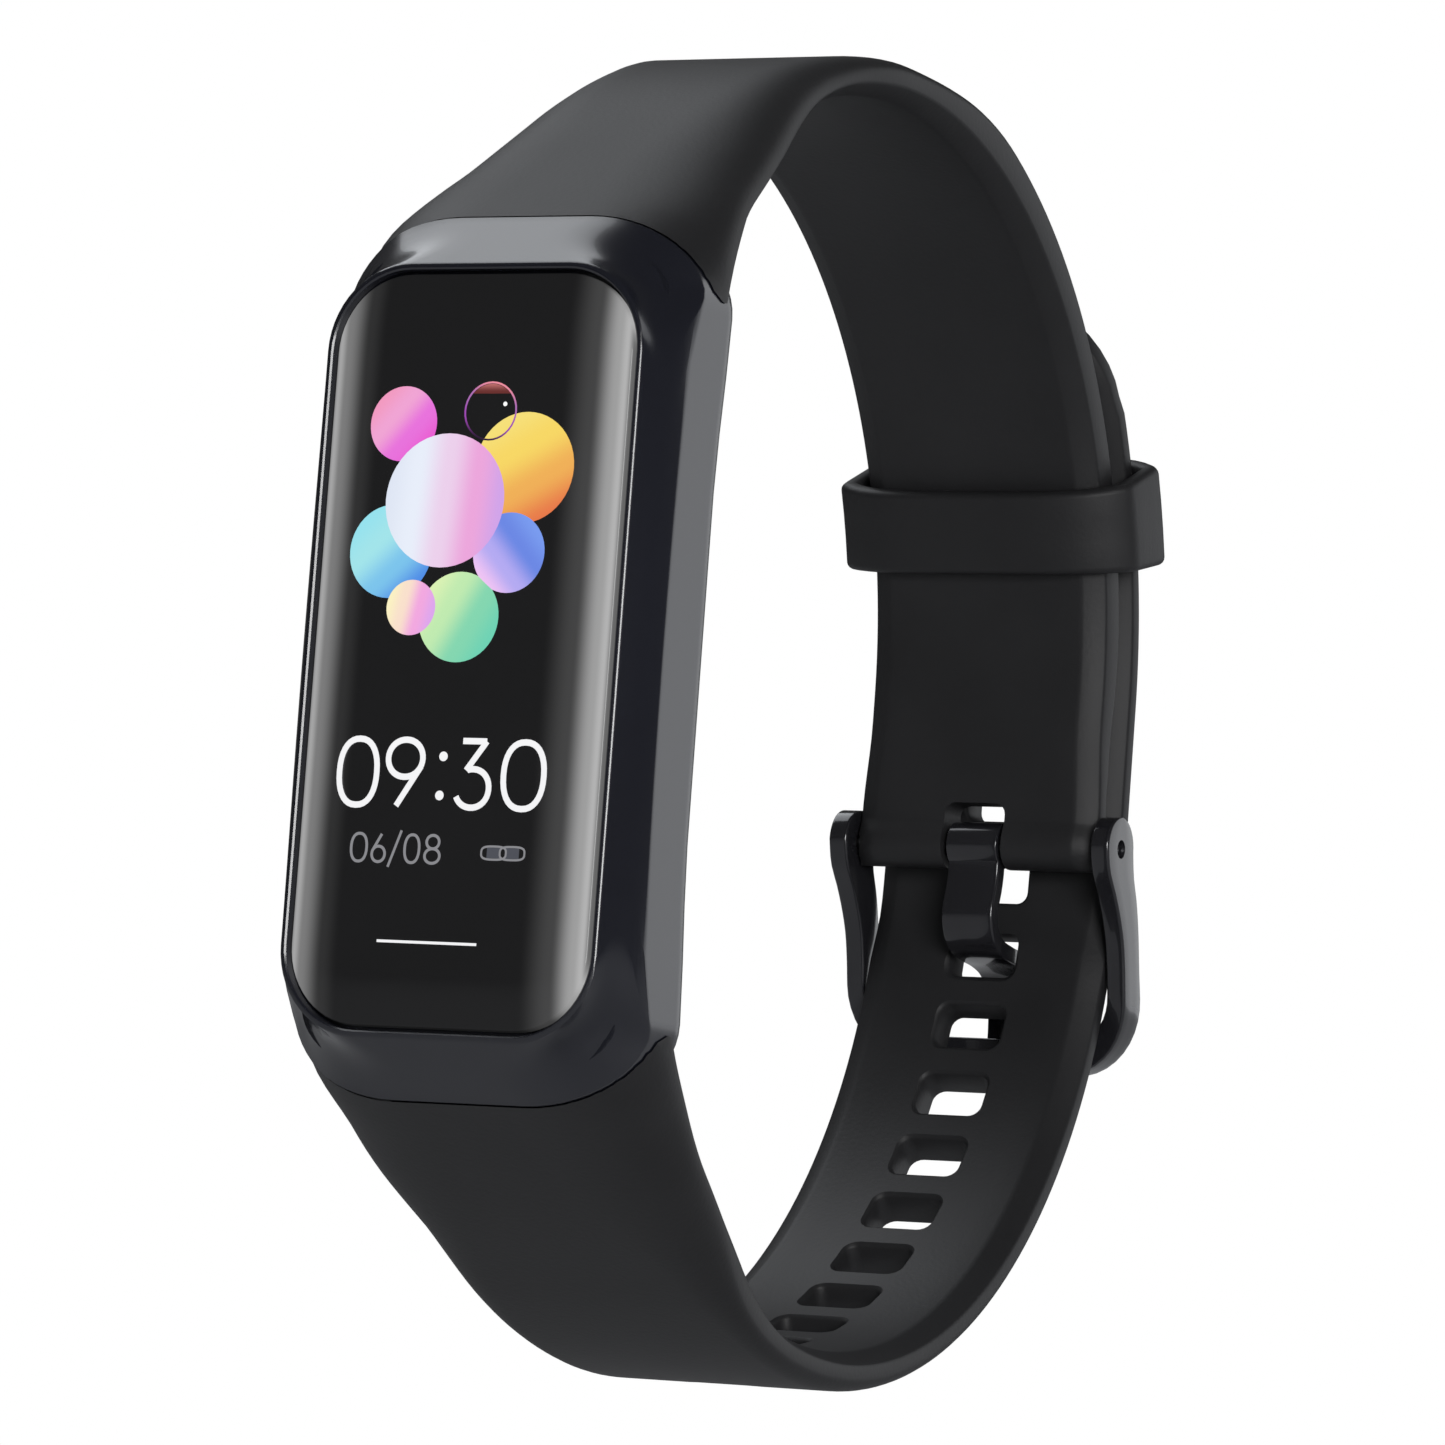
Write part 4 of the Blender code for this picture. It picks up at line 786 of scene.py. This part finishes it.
row = curve_through(TONGUE_LINE, 4)
tongue = skin("tongue_strip", [tongue_ring(row, i, i / (len(row) - 1)) for i in range(len(row))])
wrap = rod("wrap", -1.5 * mm, 1.5 * mm, BAR_Y * mm, BAR_Z * mm, 1.24 * mm, 0.1 * mm, 64)
tongue = carve(tongue, wrap, "UNION")
tongue = carve(tongue, rod("bar_room", -0.003, 0.003, BAR_Y * mm, BAR_Z * mm, 0.72 * mm))
smooth(tongue, 40)
dress(tongue, buckle_gloss)
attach(tongue, "tongue")
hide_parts("buckle_tongue")

# %% [markdown]
# The back is a shallow satin dish with a raised island. Its edge is rounded over so that it sits
# softly on the wrist, and a glossy window for the sensor is let into the island.

# %% Back cover
cover_rings = [flat_ring(6.30, 8.0, 16.2, 1.6, 1.6), flat_ring(6.20, 9.42, 17.1, 1.2, 1.2)]
for depth, half_w, half_l, corner in (
        (6.26, 9.48, 17.22, 1.3), (6.9, 9.18, 17.15, 1.5), (7.6, 8.80, 16.95, 1.9),
        (8.2, 8.38, 16.6, 2.4), (8.7, 7.90, 16.1, 2.8), (9.0, 7.40, 15.5, 3.0),
        (9.17, 6.95, 15.0, 3.0), (9.2, 6.5, 14.6, 2.9), (9.2, 6.30, 8.50, 3.1),
        (9.26, 6.12, 8.32, 3.0), (9.42, 6.02, 8.22, 2.95), (10.2, 5.88, 8.08, 2.85),
        (10.45, 5.78, 7.98, 2.75), (10.57, 5.62, 7.82, 2.6), (10.6, 5.4, 7.6, 2.4),
        (10.6, 4.45, 6.05, 2.15), (10.56, 4.38, 5.98, 2.1), (10.2, 4.36, 5.96, 2.1),
        (9.9, 4.36, 5.96, 2.1)):
    cover_rings.append(flat_ring(depth, half_w, half_l, corner, corner))
back_dish = skin("back_dish", cover_rings, loop=True)
for side in (1, -1):
    circle = outline(1.2, 1.2, 1.2, 1.2, 8, 1, 1)
    well = skin("contact_well", [[at(x + side * 2.8, depth, z - 11.6) for x, z in circle]
                                 for depth in (8.9, 9.5)])
    back_dish = carve(back_dish, well)
smooth(back_dish, 35)
dress(back_dish, cover_satin)
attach(back_dish, "case")
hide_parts("back_cover")

# %% Sensor window
window_rings = [flat_ring(10.40, 4.2, 5.8, 2.0, 2.0), flat_ring(10.80, 4.2, 5.8, 2.0, 2.0)]
window_rings += [flat_ring(d, 4.2 - s, 5.8 - s, 2.0 - s, 2.0 - s)
                 for d, s in ((10.90, 0.03), (10.97, 0.10), (11.0, 0.25))]
window = smooth(skin("sensor_glass", window_rings), 40)
dress(window, window_gloss)
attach(window, "case")
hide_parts("sensor_window")

# %% [markdown]
# The display shows a cluster of shaded balls over the time and date. They're part of a lit panel,
# so each is a very thin lens or ribbon laid on the glass with a glowing finish. A ball's colours
# run across it in one direction, so its finish is a ramp along a turned and scaled coordinate.

# %% Glowing finishes
def srgb(code):
    values = [int(code[i:i + 2], 16) / 255 for i in (0, 2, 4)]
    return [v / 12.92 if v <= 0.04045 else ((v + 0.055) / 1.055) ** 2.4 for v in values]

def glow(name, x, z, radius, degrees, codes):
    made = bpy.data.materials.new(name)
    made.use_nodes = True
    tree = made.node_tree
    shader = tree.nodes["Principled BSDF"]
    shader.inputs["Base Color"].default_value = (0.004, 0.004, 0.004, 1)
    shader.inputs["Roughness"].default_value = 0.6
    shader.inputs["Specular IOR Level"].default_value = 0.0
    shader.inputs["Emission Strength"].default_value = 1.0
    where = tree.nodes.new("ShaderNodeTexCoord")
    placed = tree.nodes.new("ShaderNodeMapping")
    turn, size = math.radians(degrees), 1 / (2 * radius * mm)
    placed.inputs["Rotation"].default_value = (0, turn, 0)
    placed.inputs["Scale"].default_value = (size, size, size)
    along = x * math.cos(turn) + z * math.sin(turn)
    placed.inputs["Location"].default_value = (0.5 - along * mm * size, 0, 0)
    run = tree.nodes.new("ShaderNodeTexGradient")
    ramp = tree.nodes.new("ShaderNodeValToRGB")
    set_ramp(ramp.color_ramp, [(k / (len(codes) - 1), srgb(code)) for k, code in enumerate(codes)])
    tree.links.new(where.outputs["Object"], placed.inputs["Vector"])
    tree.links.new(placed.outputs["Vector"], run.inputs["Vector"])
    tree.links.new(run.outputs["Color"], ramp.inputs["Fac"])
    tree.links.new(ramp.outputs["Color"], shader.inputs["Emission Color"])
    return made

# %% Balls
BALL_FRONT, STROKE_FRONT, LAYER = 0.258, 0.262, 0.008

def on_glass(piece, look):
    smooth(piece, 60)
    dress(piece, look)
    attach(piece, "case")

def ball(name, x, z, radius, layer, degrees, codes):
    circle = outline(1, 1, 1, 1, 12, 1, 1)
    front = BALL_FRONT + LAYER * layer
    rings = [[at(x + a * radius * share, -depth, z + b * radius * share) for a, b in circle]
             for share, depth in ((0.97, front - 0.004), (1.0, front), (0.98, front + 0.003),
                                  (0.7, front + 0.005))]
    on_glass(skin(name, rings), glow(name, x, z, radius, degrees, codes))

ball("ball_cyan", -4.01, 4.57, 2.23, 0, -48, ("96e2ee", "a2e4ea", "7cc4ec", "4f8ce6"))
ball("ball_orange", 2.84, 8.60, 2.65, 0, -62, ("f6e07a", "f7d765", "f0b058", "e87a4a"))
ball("ball_pink", -3.85, 10.68, 1.80, 0, -42, ("f29ac0", "f0a4d4", "e872dc", "ea5cd2"))
ball("ball_violet", 2.36, 4.56, 1.91, 1, 42, ("f0c4f4", "b4aaf2", "6c88e4", "7a9cf0"))
ball("ball_green", -0.08, 1.48, 2.15, 1, -30, ("dcf2b4", "c0eab0", "84d6b0", "6ed2b4"))
ball("ball_white", -1.30, 7.02, 3.20, 2, -4, ("dfe6f4", "e8eefa", "ecd0ec", "eca6dc", "d0a4ea"))
ball("ball_small", -2.68, 1.90, 1.32, 3, -12, ("fbf2c2", "f9e0cc", "f2a8e0", "dca6ee"))

# %% [markdown]
# Digits and lines are ribbons of one width, so a stroke is a flat section carried along a path.

# %% Strokes
def stroke(name, points, width, look, closed=False, layer=0):
    rings = []
    last = len(points) - 1
    for i, (x, z) in enumerate(points):
        before = points[i - 1] if closed or i else points[0]
        after = points[(i + 1) % len(points)] if closed or i < last else points[last]
        run = math.hypot(after[0] - before[0], after[1] - before[1])
        nx, nz = -(after[1] - before[1]) / run, (after[0] - before[0]) / run
        rings.append([at(x + a * nx, -(STROKE_FRONT + LAYER * layer + b), z + a * nz)
                      for a, b in ((width / 2, 0), (width / 2.2, 0.006), (-width / 2.2, 0.006),
                                   (-width / 2, 0), (-width / 2.2, -0.004), (width / 2.2, -0.004))])
    on_glass(skin(name, rings, loop=closed), look)

def dot(name, x, z, radius, look):
    circle = outline(1, 1, 1, 1, 6, 1, 1)
    rings = [[at(x + a * radius * s, -(STROKE_FRONT + b), z + c * radius * s) for a, c in circle]
             for s, b in ((0.95, -0.004), (1.0, 0.0), (0.9, 0.006))]
    on_glass(skin(name, rings), look)

def oval(x, z, half_w, half_h, first=0, last=360, count=36, square=2.3):
    """Points round an oval; square is 2 for a true one and more for a fuller one."""
    points = []
    for k in range(count + (1 if last - first < 360 else 0)):
        a = math.radians(first + (last - first) * k / count)
        c, s = math.cos(a), math.sin(a)
        points.append((x + half_w * math.copysign(abs(c) ** (2 / square), c),
                       z + half_h * math.copysign(abs(s) ** (2 / square), s)))
    return points

def straight(a, b, count=4):
    return [(a[0] + (b[0] - a[0]) * k / count, a[1] + (b[1] - a[1]) * k / count)
            for k in range(count + 1)]

# %% Digits
def digit(name, kind, x, z, w, h, width, look):
    """One digit whose box has its lower left corner at x, z."""
    hw, hh = (w - width) / 2, (h - width) / 2
    cx, cz = x + w / 2, z + h / 2
    if kind == "0":
        stroke(name, oval(cx, cz, hw, hh), width, look, True)
    if kind in "69":
        side = 1 if kind == "9" else -1
        rise = 0.30 * h - width / 2
        bowl_z = cz + side * (hh - rise)
        stroke(name + "_bowl", oval(cx, bowl_z, hw, rise, square=2.05), width, look, True)
        stroke(name + "_tail", straight((cx + side * 0.93 * hw, bowl_z - side * 0.42 * rise),
                                        (cx - side * 0.36 * hw, cz - side * hh)), width, look)
    if kind == "8":
        top = oval(cx, cz + 0.52 * hh, 0.84 * hw, 0.48 * hh, square=2.05)
        low = oval(cx, cz - 0.48 * hh, hw, 0.52 * hh, square=2.05)
        stroke(name + "_top", top, width, look, True)
        stroke(name + "_low", low, width, look, True)
    if kind == "3":
        top = [(cx - 0.72 * hw, cz + hh), (cx, cz + hh), (cx + 0.70 * hw, cz + hh)]
        down = straight((cx + 0.70 * hw, cz + hh), (cx - 0.42 * hw, cz + 0.12 * hh), 5)
        low = oval(cx, cz - 0.42 * hh, hw, 0.58 * hh, 108, -155, 26, 2.1)
        stroke(name + "_top", top, width, look)
        stroke(name + "_neck", down, width, look)
        stroke(name + "_bowl", low, width, look)

lit_white = glow("lit_white", 0, 0, 9, 90, ("f4f4f6", "ffffff"))
lit_grey = glow("lit_grey", 0, -9, 9, 90, ("86868a", "8e8e92"))
lit_slate = glow("lit_slate", 0, -9, 9, 90, ("4a4c54", "54565e"))
for name, kind, x, w in (("hour_tens", "0", -6.02, 2.33), ("hour_units", "9", -3.41, 2.16),
                         ("minute_tens", "3", 0.30, 2.10), ("minute_units", "0", 2.84, 2.45)):
    digit(name, kind, x, -7.67, w, 3.44, 0.30, lit_white)
dot("colon_upper", -0.30, -5.13, 0.23, lit_white)
dot("colon_lower", -0.36, -6.98, 0.23, lit_white)
for number, (kind, x, w) in enumerate((("0", -4.98, 0.98), ("6", -3.84, 0.84),
                                       ("0", -2.08, 0.92), ("8", -0.98, 0.94))):
    digit("date_%d" % number, kind, x, -10.26, w, 1.46, 0.14, lit_grey)
stroke("date_slash", straight((-2.86, -10.42), (-2.24, -8.68)), 0.13, lit_grey)
stroke("home_line", straight((-3.13, -13.92), (2.23, -13.94)), 0.13, lit_white)

# %% Link icon and clear ball
for number, x in enumerate((2.78, 3.77)):
    stroke("link_%d" % number, oval(x, -9.62, 0.66, 0.31, square=3.2), 0.10, lit_grey, True, 1)
    stroke("link_fill_%d" % number, straight((x - 0.36, -9.62), (x + 0.36, -9.62)), 0.50, lit_slate)
clear_edge = glow("clear_edge", 0.80, 11.29, 1.42, 75, ("2c1a34", "a04cb4", "b070b8", "f090a0"))
stroke("clear_ball", oval(0.80, 11.29, 1.37, 1.37, square=2), 0.09, clear_edge, True)
clear_cap = glow("clear_cap", 0.80, 12.2, 0.55, 90, ("1b1a1b", "6a3230", "d07a78"))
cap_top = oval(0.80, 11.29, 1.30, 1.30, 40, 140, 12, 2)
cap_low = [(x, 12.12 + 0.10 * ((x - 0.8) / 1.0) ** 2) for x, z in reversed(cap_top)]
cap_rings = [[at(x, -depth, z) for x, z in cap_top + cap_low] for depth in (0.256, 0.262)]
on_glass(skin("clear_cap", cap_rings), clear_cap)
dot("clear_spark", 1.56, 11.63, 0.11, lit_white)

# %% [markdown]
# What stays from the CAD model sits inside or shows only at edges: bars, contacts, boards, battery
# and motor. Each is given the finish of its real material.

# %% Finishes of the inner parts
board_green = finish("board_green", (0.015, 0.09, 0.045), 0.45, mottle=0.2, mottle_scale=900)
board_black = finish("board_black", (0.02, 0.02, 0.03), 0.5, mottle=0.2, mottle_scale=900)
battery_foil = finish("battery_foil", (0.5, 0.51, 0.53), 0.35, metallic=0.7, grain=0.3, mottle=0.1)
flex_amber = finish("flex_amber", (0.42, 0.18, 0.04), 0.4, mottle=0.15, mottle_scale=600)
seal_red = finish("seal_red", (0.22, 0.05, 0.045), 0.75, grain=0.3, mottle=0.1)
foam_black = finish("foam_black", (0.02, 0.02, 0.02), 0.9, grain=0.6, grain_scale=2500, mottle=0.2)
panel_black = finish("panel_black", (0.008, 0.008, 0.009), 0.15, mottle=0.1)
tungsten = finish("tungsten", (0.33, 0.32, 0.31), 0.42, metallic=1.0, grain=0.4, mottle=0.15)
lamp_green = finish("lamp_green", (0.10, 0.55, 0.24), 0.3, mottle=0.1, mottle_scale=900)
detector = finish("detector", (0.03, 0.03, 0.09), 0.2, mottle=0.15, mottle_scale=900)
kept = {"glass_gasket": foam_black, "display_panel": panel_black, "display_flex": flex_amber,
        "main_board": board_green, "shield_can": pin_steel, "battery": battery_foil,
        "motor_can": pin_steel, "motor_cap": pin_steel, "motor_shaft": pin_steel,
        "motor_rotor": tungsten, "back_cover_seal": seal_red, "optical_board": board_black,
        "sensor_lamp_upper": lamp_green, "sensor_lamp_lower": lamp_green,
        "light_detector": detector, "charging_contact_left": contact_gold,
        "charging_contact_right": contact_gold}
for bar in ("upper_lug_bar", "lower_lug_bar", "buckle_bar"):
    for part in ("barrel", "spring", "pin_left", "pin_right"):
        kept[bar + "_" + part] = pin_steel
for name, look in kept.items():
    node = bpy.data.objects[name]
    for index in range(len(node.data.materials)):
        node.data.materials[index] = look
    if not node.data.materials:
        node.data.materials.append(look)
print(len(kept), "kept nodes finished")

# %% [markdown]
# A pale floor under the band, white all round, and three soft panels: one overhead on the left for
# the bright slope above the glass, one behind for the flat sides, and a small bright one in front
# on the right.

# %% Camera
camera_data = bpy.data.cameras.new("camera")
camera = bpy.data.objects.new("camera", camera_data)
bpy.context.scene.collection.objects.link(camera)
camera.matrix_world = Matrix(((0.888284, -0.018850, 0.458907, 0.175260),
                              (0.453411, -0.123417, -0.882716, -0.320872),
                              (0.073276, 0.992176, -0.101083, -0.038704),
                              (0, 0, 0, 1)))
camera_data.lens = 189.47
camera_data.clip_start = 0.01
bpy.context.scene.camera = camera

# %% Floor
bpy.ops.object.select_all(action="DESELECT")
bpy.ops.mesh.primitive_plane_add(size=4, location=(0, 0, -0.06))
floor = bpy.context.object
floor.name = "floor"
dress(floor, finish("floor_paint", (0.80, 0.80, 0.81), 0.8, mottle=0.02, mottle_scale=3))

# %% White surroundings
world = bpy.data.worlds.new("studio")
bpy.context.scene.world = world
world.use_nodes = True
tree = world.node_tree
seen = tree.nodes["Background"]
seen.inputs["Color"].default_value = (1, 1, 1, 1)
around = tree.nodes.new("ShaderNodeBackground")
around.inputs["Color"].default_value = (1, 1, 1, 1)
around.inputs["Strength"].default_value = 0.06
ray = tree.nodes.new("ShaderNodeLightPath")
both = tree.nodes.new("ShaderNodeMixShader")
tree.links.new(ray.outputs["Is Camera Ray"], both.inputs["Fac"])
tree.links.new(around.outputs["Background"], both.inputs[1])
tree.links.new(seen.outputs["Background"], both.inputs[2])
tree.links.new(both.outputs["Shader"], tree.nodes["World Output"].inputs["Surface"])
bpy.context.scene.view_settings.view_transform = "Standard"

# %% Soft panels
AIM = (0, 0.02, 0)

def panel(name, place, wide, high, radiance, colour=(1, 1, 1)):
    light = bpy.data.lights.new(name, "AREA")
    light.shape = "RECTANGLE"
    light.size, light.size_y = wide, high
    light.energy = radiance * math.pi * wide * high
    light.color = colour
    lamp = bpy.data.objects.new(name, light)
    bpy.context.scene.collection.objects.link(lamp)
    lamp.location = place
    lamp.rotation_euler = (Vector(AIM) - Vector(place)).to_track_quat("-Z", "Y").to_euler()
    lamp.visible_camera = False

panel("overhead", (-0.38, 0.16, 0.60), 0.52, 0.52, 2.0, (0.93, 0.96, 1.0))
panel("behind", (0.42, 0.62, 0.05), 0.75, 0.8, 1.0, (0.95, 0.97, 1.0))
panel("front_right", (0.46, -0.52, -0.03), 0.30, 0.40, 12.0)
